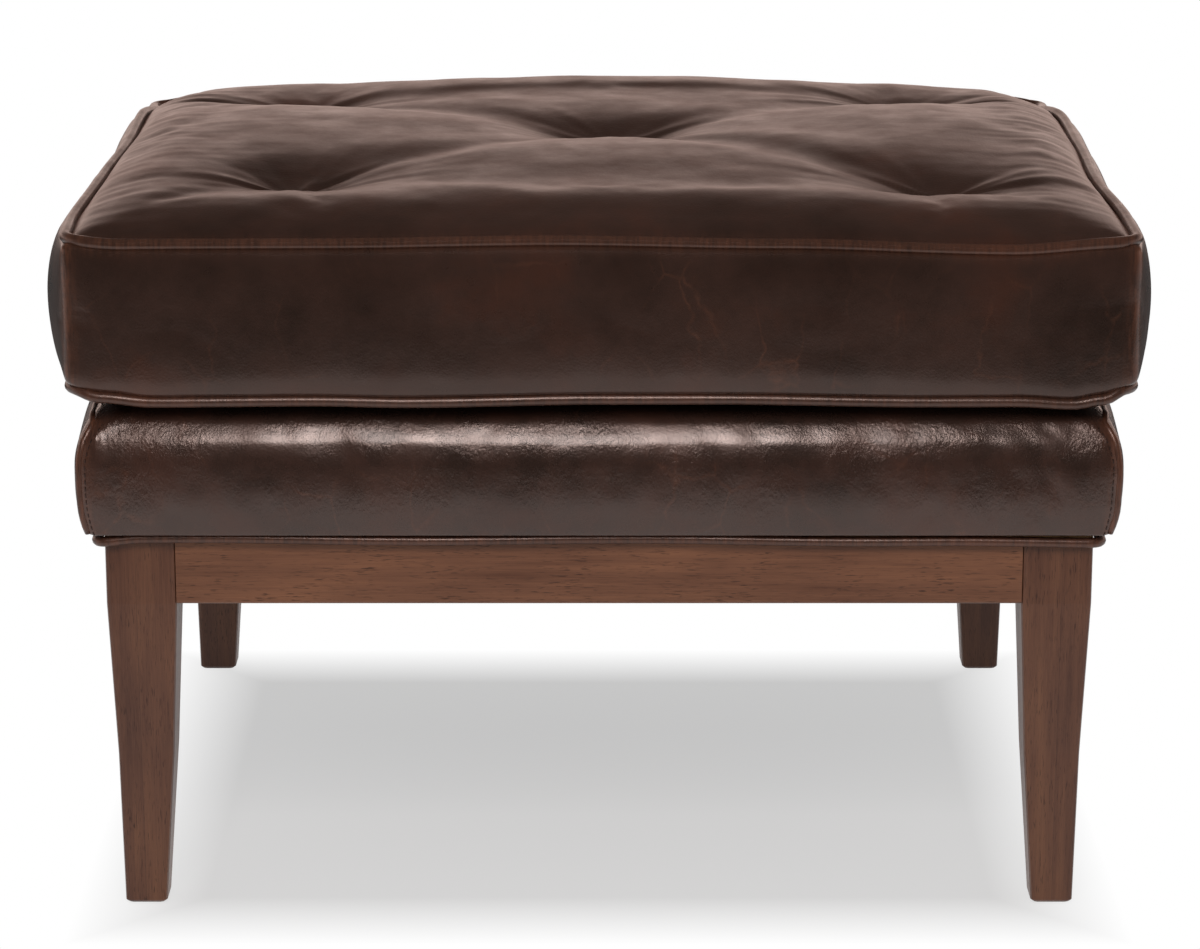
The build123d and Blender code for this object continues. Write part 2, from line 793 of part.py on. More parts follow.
# Cushion filling
filling_inset = leather_thickness + soft_clearance
core = boxing_form(filling_inset) + inner_slab(lower_tail_bottom + soft_clearance, boxing_bottom + cut_overrun)
core -= upper_welt
core -= lower_welt
tape_room = zip_tape_height + 2 * soft_clearance
core -= along_back(
    zip_length / 2 + cut_overrun,
    tape_outer - zip_tape_thickness - soft_clearance,
    back_face,
    tape_room,
)
pad = crown_form(filling_inset) + inner_slab(boxing_top + soft_clearance, crown_bottom + cut_overrun)
washers = []
twines = []
washer_bottom = lower_tail_bottom + soft_clearance
washer_top = washer_bottom + washer_thickness
half_washer = washer_side / 2
for x, y in tuft_places:
    low = (x - half_washer, y - half_washer, washer_bottom)
    high = (x + half_washer, y + half_washer, washer_top)
    twine_top = tuft_floor - leather_thickness
    hole = prism(x, y, 0, crown_top, twine_hole_radius, twine_sides)
    core -= hole
    core -= slab((low[0], low[1], 0), (high[0], high[1], washer_top + soft_clearance))
    pad -= hole
    washers.append(slab(low, high))
    twines.append(prism(x, y, washer_top, twine_top, twine_radius, twine_sides))
write("cushion_foam_core", core)
write("cushion_crown_pad", pad)
write("tuft_washers", Compound(children=washers))
write("tuft_twines", Compound(children=twines))

# Zip
half_zip = zip_length / 2
write("zip_tape", along_back(half_zip, tape_outer - zip_tape_thickness, tape_outer, zip_tape_height))
write("zip_chain", along_back(half_zip, tape_outer, chain_outer, zip_chain_height))
write("zip_slider", zip_slider())
write("zip_pull", zip_pull())
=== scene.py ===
import math

import bmesh
import bpy
import numpy as np
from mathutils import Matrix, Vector, kdtree, noise
from mathutils.bvhtree import BVHTree


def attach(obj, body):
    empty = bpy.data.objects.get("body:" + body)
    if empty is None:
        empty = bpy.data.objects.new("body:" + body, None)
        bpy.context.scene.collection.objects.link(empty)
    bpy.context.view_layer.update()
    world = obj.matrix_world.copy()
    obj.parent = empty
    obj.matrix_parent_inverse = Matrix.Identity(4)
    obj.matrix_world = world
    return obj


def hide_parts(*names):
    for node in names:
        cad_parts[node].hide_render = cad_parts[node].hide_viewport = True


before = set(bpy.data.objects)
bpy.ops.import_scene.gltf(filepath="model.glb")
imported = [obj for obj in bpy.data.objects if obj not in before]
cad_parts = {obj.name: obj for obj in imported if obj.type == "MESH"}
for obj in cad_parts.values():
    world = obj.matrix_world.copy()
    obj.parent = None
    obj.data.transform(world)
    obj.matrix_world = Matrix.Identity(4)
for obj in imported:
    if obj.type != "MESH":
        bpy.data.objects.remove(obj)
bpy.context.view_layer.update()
print("frame loaded:", len(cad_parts), "nodes")

mm = 0.001


# Colours and nodes
def linearColour(hexText):
    # sRGB hex to the linear values that the shaders work in
    values = [int(hexText[i:i + 2], 16) / 255 for i in (1, 3, 5)]
    return tuple(v / 12.92 if v <= 0.04045 else ((v + 0.055) / 1.055) ** 2.4 for v in values) + (1.0,)


def addNode(tree, kind, settings=None, links=None):
    # one node with its settings, its socket values and its incoming links
    node = tree.nodes.new(kind)
    for name, value in (settings or {}).items():
        if isinstance(name, str) and hasattr(node, name):
            setattr(node, name, value)
    for name, value in (settings or {}).items():
        if isinstance(name, int) or not hasattr(node, name):
            node.inputs[name].default_value = value
    for name, source in (links or {}).items():
        tree.links.new(source, node.inputs[name])
    return node


def newMaterial(name):
    material = bpy.data.materials.new(name)
    material.use_nodes = True
    tree = material.node_tree
    tree.nodes.clear()
    output = tree.nodes.new("ShaderNodeOutputMaterial")
    shader = tree.nodes.new("ShaderNodeBsdfPrincipled")
    tree.links.new(shader.outputs[0], output.inputs[0])
    return material, tree, shader


def colourRamp(tree, factor, stops):
    ramp = addNode(tree, "ShaderNodeValToRGB", None, {"Fac": factor})
    elements = ramp.color_ramp.elements
    while len(elements) < len(stops):
        elements.new(0.5)
    for element, (place, colour) in zip(elements, stops):
        element.position = place
        element.color = linearColour(colour)
    return ramp.outputs["Color"]


def plug(tree, node, pairs):
    # each pair is a socket number and the value or the outgoing socket for it
    for number, value in pairs:
        if isinstance(value, bpy.types.NodeSocket):
            tree.links.new(value, node.inputs[number])
        else:
            node.inputs[number].default_value = value


def mixColour(tree, factor, first, second):
    node = addNode(tree, "ShaderNodeMix", {"data_type": "RGBA"})
    plug(tree, node, ((0, factor), (6, first), (7, second)))
    return node.outputs[2]


def mathNode(tree, operation, first, second=0.0, clamp=False):
    node = addNode(tree, "ShaderNodeMath", {"operation": operation, "use_clamp": clamp})
    plug(tree, node, ((0, first), (1, second)))
    return node.outputs[0]


def mapRange(tree, value, low, high, toLow=0.0, toHigh=1.0):
    ends = {"From Min": low, "From Max": high, "To Min": toLow, "To Max": toHigh}
    return addNode(tree, "ShaderNodeMapRange", ends, {"Value": value}).outputs[0]


def cloudNoise(tree, place, sizeMm, detail=4.0, roughness=0.55, stretch=None):
    # soft noise whose spots are about sizeMm across; stretch makes them longer along an axis
    if stretch:
        shares = {"Scale": [1 / s for s in stretch]}
        place = addNode(tree, "ShaderNodeMapping", shares, {"Vector": place}).outputs[0]
    values = {"Scale": 1 / (sizeMm * mm), "Detail": detail, "Roughness": roughness}
    return addNode(tree, "ShaderNodeTexNoise", values, {"Vector": place}).outputs["Fac"]


def addBump(tree, height, depthMm, normal=None, invert=False):
    node = addNode(tree, "ShaderNodeBump", {"Strength": 1.0, "Distance": depthMm * mm, "invert": invert},
                   {"Height": height})
    if normal:
        tree.links.new(normal, node.inputs["Normal"])
    return node.outputs[0]


# Leather
leather = {
    "dark": "#241914",
    "middle": "#34241e",
    "red": "#45271c",
    "worn": "#724632",
    # near black, painted on the deck's top as shade in the gap under the cushion
    "paintedShade": "#070403",
    "glossTint": (1.0, 0.80, 0.74, 1.0),
    "sheenTint": "#c98f7c",
    "sheenRoughness": 0.45,
    "coatRoughness": 0.16,
    "blotchMm": 110,
    "cloudMm": 30,
    "grainMm": 1.6,
    "grainDepthMm": 0.05,
    "waveMm": 22,
    "waveDepthMm": 0.35,
    "driftMm": 50,
    "veinMm": 38,
    "veinDrift": 0.045,
    "veinPatchMm": 70,
    "veinBreakMm": 6,
    "hairMm": 2.2,
    "wornDepthMm": 0.04,
    "crazeMm": 5.5,
    "crazeDrift": 0.012,
    "crazePatchMm": 45,
    # painted shade: the levels over which the deck's top, in the gap under the cushion, turns near black
    "shadeFrom": 0.350,
    "shadeTo": 0.360,
}


def waxedLeather(name, roughness, redness=0.3, veins=0.5, crinkle=0.0, sheen=0.0, coat=0.0, under=0.0):
    # drum-dyed cowhide with a waxed pull-up finish: dark and semi-glossy, redder in patches, and
    # it turns a light worn brown where it is bent, rubbed or folded over a seam
    look = leather
    material, tree, shader = newMaterial(name)
    place = addNode(tree, "ShaderNodeTexCoord").outputs["Object"]
    blotch = cloudNoise(tree, place, look["blotchMm"], 5.0, 0.6)
    cloud = cloudNoise(tree, place, look["cloudMm"], 6.0, 0.65)
    colour = colourRamp(tree, blotch, [(0.30, look["dark"]), (0.56, look["middle"]), (0.80, look["red"])])
    reddened = mathNode(tree, "MULTIPLY", mapRange(tree, cloud, 0.40, 0.75), redness)
    colour = mixColour(tree, reddened, colour, linearColour(look["red"]))
    drift = addNode(tree, "ShaderNodeTexNoise", {"Scale": 1 / (look["driftMm"] * mm), "Detail": 4.0},
                    {"Vector": place}).outputs["Color"]

    def drifted(reach):
        # the place on the hide, pushed about so that lines wander
        return addNode(tree, "ShaderNodeVectorMath", {"operation": "MULTIPLY_ADD", 1: (reach,) * 3},
                       {0: drift, 2: place}).outputs[0]

    # thin pull-up veins, mostly upright, and only in patches
    tall = addNode(tree, "ShaderNodeMapping", {"Scale": (1.0, 0.7, 0.55)},
                   {"Vector": drifted(look["veinDrift"])}).outputs[0]
    cells = {"feature": "DISTANCE_TO_EDGE", "Scale": 1 / (look["veinMm"] * mm)}
    edge = addNode(tree, "ShaderNodeTexVoronoi", cells, {"Vector": tall}).outputs["Distance"]
    vein = mapRange(tree, edge, 0.0, 0.035, 1.0, 0.0)
    patch = mapRange(tree, cloudNoise(tree, place, look["veinPatchMm"], 3.0), 0.47, 0.68, 0.0, veins)
    vein = mathNode(tree, "MULTIPLY", vein, patch)
    broken = mapRange(tree, cloudNoise(tree, place, look["veinBreakMm"], 4.0), 0.35, 0.65, 0.2, 1.0)
    vein = mathNode(tree, "MULTIPLY", vein, broken)
    hair = cloudNoise(tree, place, look["hairMm"], 3.0, 0.7, (1.0, 5.0, 9.0))
    wear = addNode(tree, "ShaderNodeAttribute", {"attribute_name": "wear"}).outputs["Fac"]
    rubbed = mathNode(tree, "MULTIPLY", wear, mapRange(tree, hair, 0.38, 0.66, 0.15, 1.0))
    worn = mathNode(tree, "MAXIMUM", vein, rubbed, True)
    colour = mixColour(tree, worn, colour, linearColour(look["worn"]))
    if under:
        # painted shade: towards its top, in the gap under the cushion, the deck's colour goes near black and
        # its shine drops
        level = addNode(tree, "ShaderNodeSeparateXYZ", None, {0: place}).outputs["Z"]
        shadeShare = mapRange(tree, level, look["shadeFrom"], look["shadeTo"], 0.0, under)
        colour = mixColour(tree, shadeShare, colour, linearColour(look["paintedShade"]))
        tree.links.new(mapRange(tree, shadeShare, 0.0, 1.0, 0.5, 0.0), shader.inputs["Specular IOR Level"])
    tree.links.new(colour, shader.inputs["Base Color"])

    rough = mapRange(tree, cloud, 0.3, 0.7, roughness - 0.05, roughness + 0.07)
    tree.links.new(rough, shader.inputs["Roughness"])
    pebbles = {"feature": "F1", "Scale": 1 / (look["grainMm"] * mm)}
    grain = addNode(tree, "ShaderNodeTexVoronoi", pebbles, {"Vector": place}).outputs["Distance"]
    normal = addBump(tree, grain, look["grainDepthMm"])
    normal = addBump(tree, cloudNoise(tree, place, look["waveMm"], 3.0), look["waveDepthMm"], normal)
    if crinkle:
        # fine crazing where the hide was stretched and let go
        crackPlace = drifted(look["crazeDrift"])
        craze = cloudNoise(tree, crackPlace, look["crazeMm"], 5.0, 0.6, (1.0, 1.0, 1.6))
        fold = mathNode(tree, "ABSOLUTE", mathNode(tree, "SUBTRACT", craze, 0.5))
        where = mapRange(tree, cloudNoise(tree, place, look["crazePatchMm"], 3.0), 0.40, 0.62)
        normal = addBump(tree, mathNode(tree, "MULTIPLY", fold, where), crinkle, normal)
    normal = addBump(tree, worn, look["wornDepthMm"], normal, invert=True)
    tree.links.new(normal, shader.inputs["Normal"])
    shader.inputs["IOR"].default_value = 1.5
    shader.inputs["Specular Tint"].default_value = look["glossTint"]
    if sheen:
        shader.inputs["Sheen Weight"].default_value = sheen
        shader.inputs["Sheen Roughness"].default_value = look["sheenRoughness"]
        shader.inputs["Sheen Tint"].default_value = linearColour(look["sheenTint"])
    if coat:
        shader.inputs["Coat Weight"].default_value = coat
        shader.inputs["Coat Roughness"].default_value = look["coatRoughness"]
    return material


crownLeather = waxedLeather("waxed cowhide, cushion top", 0.36, redness=0.25, veins=0.12, sheen=0.12)
boxingLeather = waxedLeather("waxed cowhide, cushion boxing", 0.30, redness=0.25, veins=0.24)
# the deck's leather has painted shade at its top, in the gap under the cushion
deckLeather = waxedLeather("waxed cowhide, deck", 0.27, redness=0.55, veins=0.28, crinkle=1.1, coat=0.20,
                           under=0.8)
weltLeather = waxedLeather("waxed cowhide, welts", 0.32, redness=0.30, veins=0.0)

# Wood
wood = {
    "rail": ("#583320", "#6f4731", "#85573c"),
    "leg": ("#4b2a1b", "#5e3a28", "#704932"),
    "pore": "#24120b",
    "roughness": 0.40,
    "bandMm": 7,
    "figureMm": 42,
    "fibreMm": 0.9,
    "poreMm": 0.7,
    "poreCrowdMm": 30,
    "poreDepthMm": 0.05,
    "fibreDepthMm": 0.02,
    "glueLineX": 0.3165,
}


def stainedHardwood(name, axis, tones, glued=False):
    # straight-grained hardwood, planed, stained walnut brown and sprayed with satin lacquer: a
    # warm brown with long darker bands, short open pores and a soft shine
    look = wood
    material, tree, shader = newMaterial(name)
    place = addNode(tree, "ShaderNodeTexCoord").outputs["Object"]
    number = "XYZ".index(axis)

    def along(length):
        return [length if i == number else 1.0 for i in range(3)]

    band = cloudNoise(tree, place, look["bandMm"], 4.0, 0.6, along(26.0))
    figure = cloudNoise(tree, place, look["figureMm"], 3.0, 0.5, along(3.0))
    fibre = cloudNoise(tree, place, look["fibreMm"], 2.0, 0.6, along(40.0))
    tone = mathNode(tree, "MULTIPLY", band, 0.40)
    tone = mathNode(tree, "ADD", tone, mathNode(tree, "MULTIPLY", figure, 0.38))
    tone = mathNode(tree, "ADD", tone, mathNode(tree, "MULTIPLY", fibre, 0.22))
    if glued:
        # the leg is two boards glued face to face
        parts = addNode(tree, "ShaderNodeSeparateXYZ", None, {0: place})
        sideways = mathNode(tree, "ABSOLUTE", parts.outputs["X"])
        offset = mathNode(tree, "SUBTRACT", sideways, look["glueLineX"])
        tone = mathNode(tree, "ADD", tone, mapRange(tree, offset, -0.0002, 0.0002, 0.02, -0.02))
    low, middle, high = look[tones]
    colour = colourRamp(tree, tone, [(0.36, low), (0.50, middle), (0.66, high)])
    pore = cloudNoise(tree, place, look["poreMm"], 1.0, 0.5, along(11.0))
    crowd = mapRange(tree, cloudNoise(tree, place, look["poreCrowdMm"], 2.0), 0.40, 0.62, 0.35, 1.0)
    pore = mathNode(tree, "MULTIPLY", mapRange(tree, pore, 0.60, 0.70, 0.0, 0.7), crowd)
    colour = mixColour(tree, pore, colour, linearColour(look["pore"]))
    if glued:
        line = mapRange(tree, mathNode(tree, "ABSOLUTE", offset), 0.0, 0.0004, 0.35, 0.0)
        colour = mixColour(tree, line, colour, linearColour(look["pore"]))
    tree.links.new(colour, shader.inputs["Base Color"])
    rough = mathNode(tree, "ADD", mathNode(tree, "MULTIPLY", pore, 0.25), look["roughness"])
    tree.links.new(rough, shader.inputs["Roughness"])
    normal = addBump(tree, pore, look["poreDepthMm"], invert=True)
    normal = addBump(tree, fibre, look["fibreDepthMm"], normal)
    tree.links.new(normal, shader.inputs["Normal"])
    shader.inputs["Specular IOR Level"].default_value = 0.4
    return material


def plainFinish(name, dark, light, grainMm, roughness, metallic=0.0, stretch=None):
    # a two-tone finish with a fine grain, for the small and hidden pieces
    material, tree, shader = newMaterial(name)
    place = addNode(tree, "ShaderNodeTexCoord").outputs["Object"]
    grain = cloudNoise(tree, place, grainMm, 3.0, 0.55, stretch)
    tree.links.new(colourRamp(tree, grain, [(0.35, dark), (0.65, light)]), shader.inputs["Base Color"])
    tree.links.new(addBump(tree, grain, 0.05), shader.inputs["Normal"])
    shader.inputs["Roughness"].default_value = roughness
    shader.inputs["Metallic"].default_value = metallic
    return material


legWood = stainedHardwood("stained hardwood, upright grain", "Z", "leg", glued=True)
frontRailWood = stainedHardwood("stained hardwood, grain along the front", "X", "rail")
sideRailWood = stainedHardwood("stained hardwood, grain along the side", "Y", "rail")
finishes = {
    # pale and dull, with upright grain
    "frame": plainFinish("planed pine of the hidden frame", "#8a6a45", "#c39a68", 12, 0.7, stretch=(1, 1, 6)),
    # pale grey metal with a broken shine
    "steel": plainFinish("zinc-plated steel", "#8d8f8f", "#b9bab8", 6, 0.35, 1.0),
    # black with a low shine
    "nylon": plainFinish("moulded black nylon", "#0d0c0c", "#1b1a19", 2, 0.45),
    # dry brown cloth with coarse specks
    "webbing": plainFinish("woven jute and polypropylene", "#4d3d27", "#7a6543", 1.5, 0.9),
    # cream and quite matt
    "foam": plainFinish("cut polyurethane foam", "#cdbd95", "#e3d8b8", 2, 0.95),
    # matt black with a felted grain
    "cover": plainFinish("black spunbonded dust cover", "#0b0b0b", "#1c1c1c", 1.2, 0.92),
    # matt grey fluff
    "felt": plainFinish("pressed grey felt and waxed twine", "#3a3733", "#55514b", 1.0, 0.95),
    # dark brown with a dull wax shine
    "thread": plainFinish("waxed brown sewing thread", "#1d0f0a", "#3a2015", 0.6, 0.6),
    # dark brown, matt and even
    "tape": plainFinish("woven brown polyester tape", "#1c120e", "#2c1c15", 1.0, 0.85),
    # dull yellow metal, browned in its hollows
    "brass": plainFinish("antiqued brass", "#4a3719", "#7a6031", 3, 0.38, 1.0),
}
print("materials made")


# Meshes
def newObject(name, vertices, faces, materials, smooth=True):
    mesh = bpy.data.meshes.new(name)
    mesh.from_pydata([tuple(v) for v in vertices], [], faces)
    mesh.update()
    for material in materials:
        mesh.materials.append(material)
    if smooth and mesh.polygons:
        mesh.polygons.foreach_set("use_smooth", [True] * len(mesh.polygons))
    made = bpy.data.objects.new(name, mesh)
    bpy.context.scene.collection.objects.link(made)
    return made


def smoothStep(low, high, value):
    t = min(1.0, max(0.0, (value - low) / (high - low)))
    return t * t * (3 - 2 * t)


def waveAt(table, place):
    # eases from one (place, height) pair to the next
    if place <= table[0][0]:
        return table[0][1]
    for (a, low), (b, high) in zip(table, table[1:]):
        if place <= b:
            return low + (high - low) * smoothStep(a, b, place)
    return table[-1][1]


def gridLines(half, radius, cell, cornerCells):
    # each line is its share of the straight run and its share of the corner's radius
    count = max(2, round(2 * (half - radius) / cell))
    corner = [(i + 1) / cornerCells for i in range(cornerCells)]
    lines = [(-1.0, -c) for c in reversed(corner)]
    lines += [(2 * i / count - 1, 0.0) for i in range(count + 1)]
    return lines + [(1.0, c) for c in corner]


def planPoint(lineX, lineY, halfX, halfY, radius):
    # a grid point in plan, with the rectangle's corners rounded
    reach = 1.0
    if lineX[1] and lineY[1]:
        reach = max(abs(lineX[1]), abs(lineY[1])) / math.hypot(lineX[1], lineY[1])
    x = lineX[0] * (halfX - radius) + lineX[1] * radius * reach
    y = lineY[0] * (halfY - radius) + lineY[1] * radius * reach
    return x, y


def edgeLoop(nx, ny):
    loop = [(i, 0) for i in range(nx - 1)] + [(nx - 1, j) for j in range(ny - 1)]
    return loop + [(i, ny - 1) for i in range(nx - 1, 0, -1)] + [(0, j) for j in range(ny - 1, 0, -1)]


def boxedShell(linesX, linesY, topPoint, ringPoint, levels, floorLevel, floorShares):
    # a top grid, rings down the sides and rings inwards underneath, up to a small hole
    nx, ny = len(linesX), len(linesY)
    loop = edgeLoop(nx, ny)
    count = len(loop)
    vertices = [topPoint(lx, ly) for ly in linesY for lx in linesX]
    faces = [(j * nx + i, j * nx + i + 1, (j + 1) * nx + i + 1, (j + 1) * nx + i)
             for j in range(ny - 1) for i in range(nx - 1)]
    rings = [[j * nx + i for i, j in loop]]
    for level in levels:
        rings.append(list(range(len(vertices), len(vertices) + count)))
        vertices += [ringPoint(linesX[i], linesY[j], level) for i, j in loop]
    lowest = [vertices[k] for k in rings[-1]]
    for share, drop in floorShares:
        rings.append(list(range(len(vertices), len(vertices) + count)))
        vertices += [(x * share, y * share, z + (floorLevel - z) * drop) for x, y, z in lowest]
    for upper, lower in zip(rings, rings[1:]):
        faces += [(upper[k], lower[k], lower[(k + 1) % count], upper[(k + 1) % count]) for k in range(count)]
    return vertices, faces, rings


def outwards(thing):
    work = bmesh.new()
    work.from_mesh(thing.data)
    bmesh.ops.recalc_face_normals(work, faces=work.faces)
    work.to_mesh(thing.data)
    work.free()
    return thing


def tube(name, path, radius, sides, materials, closed=True, up=(0, 0, 1)):
    # a cord along a path
    count = len(path)
    vertices, faces = [], []
    for i, point in enumerate(path):
        before = path[i - 1] if closed or i else point
        after = path[(i + 1) % count] if closed or i < count - 1 else point
        heading = (after - before).normalized()
        across = heading.cross(Vector(up)).normalized()
        lift = across.cross(heading).normalized()
        for k in range(sides):
            angle = 2 * math.pi * k / sides
            vertices.append(point + radius * (across * math.cos(angle) + lift * math.sin(angle)))
    for i in range(count if closed else count - 1):
        j = (i + 1) % count
        faces += [(i * sides + k, i * sides + (k + 1) % sides, j * sides + (k + 1) % sides, j * sides + k)
                  for k in range(sides)]
    if not closed:
        faces += [tuple(range(sides)), tuple(range((count - 1) * sides, count * sides))]
    return outwards(newObject(name, vertices, faces, materials))


def keepResult(thing):
    # the evaluated mesh takes the place of the live modifiers
    graph = bpy.context.evaluated_depsgraph_get()
    graph.update()
    finished = thing.evaluated_get(graph)
    mesh = bpy.data.meshes.new_from_object(finished, preserve_all_data_layers=True, depsgraph=graph)
    thing.modifiers.clear()
    thing.data = mesh
    return thing


def subdivideOnce(thing):
    step = thing.modifiers.new("finer", "SUBSURF")
    step.levels = step.render_levels = 1
    return keepResult(thing)


def closeUnderneath(thing):
    # a fan of faces over the hole in the middle of the underside
    work = bmesh.new()
    work.from_mesh(thing.data)
    made = bmesh.ops.contextual_create(work, geom=[edge for edge in work.edges if edge.is_boundary])
    bmesh.ops.poke(work, faces=made["faces"])
    work.to_mesh(thing.data)
    work.free()
    return outwards(thing)


def surfaceOf(thing):
    mesh = thing.data
    places = [vertex.co.copy() for vertex in mesh.vertices]
    return BVHTree.FromPolygons(places, [tuple(face.vertices) for face in mesh.polygons])


def layOn(surface, path, lift):
    # moves each point of a path to the nearest place on a piece, and off it by a little
    laid = []
    for point in path:
        spot, normal, face, distance = surface.find_nearest(point)
        laid.append(spot + normal * lift)
    return laid


def setWear(thing, seams, spread):
    # seams are (point, strength); the rubbing fades over spread from the nearest one
    tree = kdtree.KDTree(len(seams))
    for i, (point, strength) in enumerate(seams):
        tree.insert(point, i)
    tree.balance()
    values = []
    for vertex in thing.data.vertices:
        point, i, distance = tree.find(vertex.co)
        values.append(seams[i][1] * max(0.0, 1 - distance / spread) ** 2)
    thing.data.attributes.new("wear", "FLOAT", "POINT").data.foreach_set("value", values)


def puff(thing, pinned, target, caps, settings):
    # cloth under pressure, held where it is sewn; each point then stays near the drawn form
    group = thing.vertex_groups.new(name="sewn")
    group.add(pinned, 1.0, "REPLACE")
    cloth = thing.modifiers.new("puff", "CLOTH")
    values = cloth.settings
    values.quality = 5
    values.mass = settings["mass"]
    values.tension_stiffness = values.compression_stiffness = settings["stretch"]
    values.shear_stiffness = settings["shear"]
    values.bending_stiffness = settings["bend"]
    values.tension_damping = values.compression_damping = values.shear_damping = settings["damping"]
    values.air_damping = 2.0
    values.use_pressure = True
    values.uniform_pressure_force = settings["pressure"]
    values.shrink_min = -settings["excess"]
    values.vertex_group_mass = "sewn"
    values.effector_weights.gravity = 0
    cloth.collision_settings.use_collision = False
    cloth.collision_settings.use_self_collision = False
    cloth.point_cache.frame_start = 1
    cloth.point_cache.frame_end = settings["frames"]
    scene = bpy.context.scene
    for step in range(1, settings["frames"] + 1):
        scene.frame_set(step)
    graph = bpy.context.evaluated_depsgraph_get()
    made = thing.evaluated_get(graph).data
    reached = np.empty(len(made.vertices) * 3)
    made.vertices.foreach_get("co", reached)
    move = reached.reshape(-1, 3) - target
    length = np.linalg.norm(move, axis=1, keepdims=True)
    caps = np.asarray(caps).reshape(-1, 1)
    kept = target + move * caps / (caps + length + 1e-9)
    thing.modifiers.remove(cloth)
    if thing.data.shape_keys:
        thing.shape_key_clear()
    thing.vertex_groups.clear()
    thing.data.vertices.foreach_set("co", kept.ravel())
    thing.data.update()
    scene.frame_set(1)
    print("puffed", thing.name, "mean move mm", round(float(length.mean()) / mm, 2))


# Cushion
cushion = {
    "halfX": 0.3495,
    "halfY": 0.3020,
    "corner": 0.016,
    "boxCorner": 0.006,
    "cell": 0.006,
    "cornerCells": 5,
    "seamTop": 0.4765,
    "seamBottom": 0.3700,
    "bottom": 0.3664,
    "crown": 0.0345,
    "crownReachX": 0.120,
    "crownReachY": 0.225,
    "crownReachRear": 0.300,
    "edgeReach": 0.006,
    "edgeShare": 0.36,
    "swell": 0.0100,
    "cornerSwell": 0.0062,
    "sideBow": 0.0150,
    "frontBow": 0.0025,
    "weltRadius": 0.0040,
    "weltOut": 0.0040,
    "rearDrop": 0.010,
    "lowCurl": 0.0045,
    "lowRest": 0.0008,
    # the unevenness of the boxing, and its gathers under the top welt
    "ripple": 0.0011,
    "gather": 0.0006,
    # the opening for the zip, and the lips along it
    "slotLevel": 0.4228,
    "slotHalf": 0.2800,
    "slotDepth": 0.3074,
    "lipRise": 0.0006,
    "lipLevel": 0.0088,
    "lipHalf": 0.0022,
    # how far the simulation may leave the drawn form, at the seams, on the crown and on the boxing
    "seamCap": 0.0002,
    "crownCap": 0.0060,
    "boxingCap": 0.0012,
    "pullFrames": 12,
    "cloth": {"mass": 0.3, "stretch": 18.0, "shear": 8.0, "bend": 1.0, "damping": 8.0, "pressure": 2.4,
              "excess": 0.004, "frames": 24},
    # how far the sides stand out along their depth
    "leftBow": ((-0.30, 0.0030), (-0.215, 0.0066), (-0.066, 0.0045), (0.06, 0.0018), (0.20, 0.0055),
                (0.31, -0.0080)),
    "rightBow": ((-0.30, 0.0062), (-0.215, 0.0070), (-0.09, 0.0026), (0.05, 0.0065), (0.17, 0.0092),
                 (0.31, -0.0060)),
    # how the two seams rise and dip across the front
    "topFront": ((-0.35, 0.0005), (-0.32, -0.0016), (-0.19, -0.0013), (-0.03, 0.0008), (0.12, -0.0014),
                 (0.275, -0.0054), (0.35, -0.0005)),
    "lowFront": ((-0.353, 0.0048), (-0.335, 0.0006), (-0.30, -0.0026), (-0.19, -0.0017), (-0.13, -0.0028),
                 (0.0, -0.0005), (0.08, -0.0004), (0.22, -0.0024), (0.28, -0.0022), (0.318, -0.0040),
                 (0.338, -0.0010), (0.353, 0.0050)),
    # the height of a boxing ring below the top seam, and how full it is there
    "rings": ((0.012, 0.32), (0.022, 0.74), (0.034, 0.90), (0.060, 0.955), (0.11, 0.975), (0.18, 0.99),
              (0.25, 1.0), (0.32, 1.0), (0.385, 1.0), (0.42, 1.0), (0.438, 1.0), (0.450, 1.0), (0.475, 1.0),
              (0.503, 1.0), (0.531, 1.0), (0.556, 1.0), (0.568, 1.0), (0.586, 1.0), (0.63, 1.0), (0.70, 1.0),
              (0.77, 0.99), (0.84, 0.98), (0.89, 0.96), (0.93, 0.92), (0.955, 0.82), (0.975, 0.55),
              (0.99, 0.2), (1.0, 0.0)),
}
tufts = [
    # place across, place in depth, level of the pinch, half length and turn of the pinch line
    (-0.210, -0.177, 0.4832, 0.016, -0.10),
    (0.236, -0.190, 0.4829, 0.020, 0.04),
    (-0.229, 0.162, 0.4830, 0.020, 0.03),
    (0.240, 0.171, 0.4830, 0.020, -0.05),
    (0.009, 0.014, 0.4845, 0.020, 0.08),
]
tuftShape = {
    "reach": 0.22,
    "fall": 0.046,
    "sharpness": 0.85,
    # how fast a hollow ends along its line, in front of it, behind it, and behind the rear two
    "along": 0.9,
    "before": 1.35,
    "behind": 0.85,
    "behindRear": 0.50,
    "rearFrom": 0.1,
    "valley": 0.0042,
    "valleyHalf": 0.024,
    "lean": 0.0055,
    "leanHalf": 0.010,
    "leanPast": 0.012,
}


def cushionPlan(lineX, lineY, grow=0.0, corner=None):
    halfX, halfY = cushion["halfX"] + grow, cushion["halfY"] + grow
    x, y = planPoint(lineX, lineY, halfX, halfY, corner or cushion["corner"] + grow)
    bow = waveAt(cushion["leftBow"] if x < 0 else cushion["rightBow"], y)
    return x + math.copysign(bow * min(1.0, abs(x) / cushion["halfX"]) ** 4, x), y


def nearFront(y):
    # 0 behind the front edge, 1 on it
    return smoothStep(-0.20, -0.30, y)


def topSeam(x, y):
    rear = smoothStep(0.19, 0.30, y) * min(1.0, abs(x) / cushion["halfX"]) ** 6
    front = nearFront(y) * waveAt(cushion["topFront"], x)
    return cushion["seamTop"] + front - cushion["rearDrop"] * rear


def lowSeam(x, y):
    curl = smoothStep(0.325, 0.353, abs(x)) * smoothStep(0.27, 0.305, abs(y)) * cushion["lowCurl"]
    front = nearFront(y)
    wave = front * waveAt(cushion["lowFront"], x)
    return cushion["seamBottom"] + wave + (1 - front) * (curl - cushion["lowRest"])


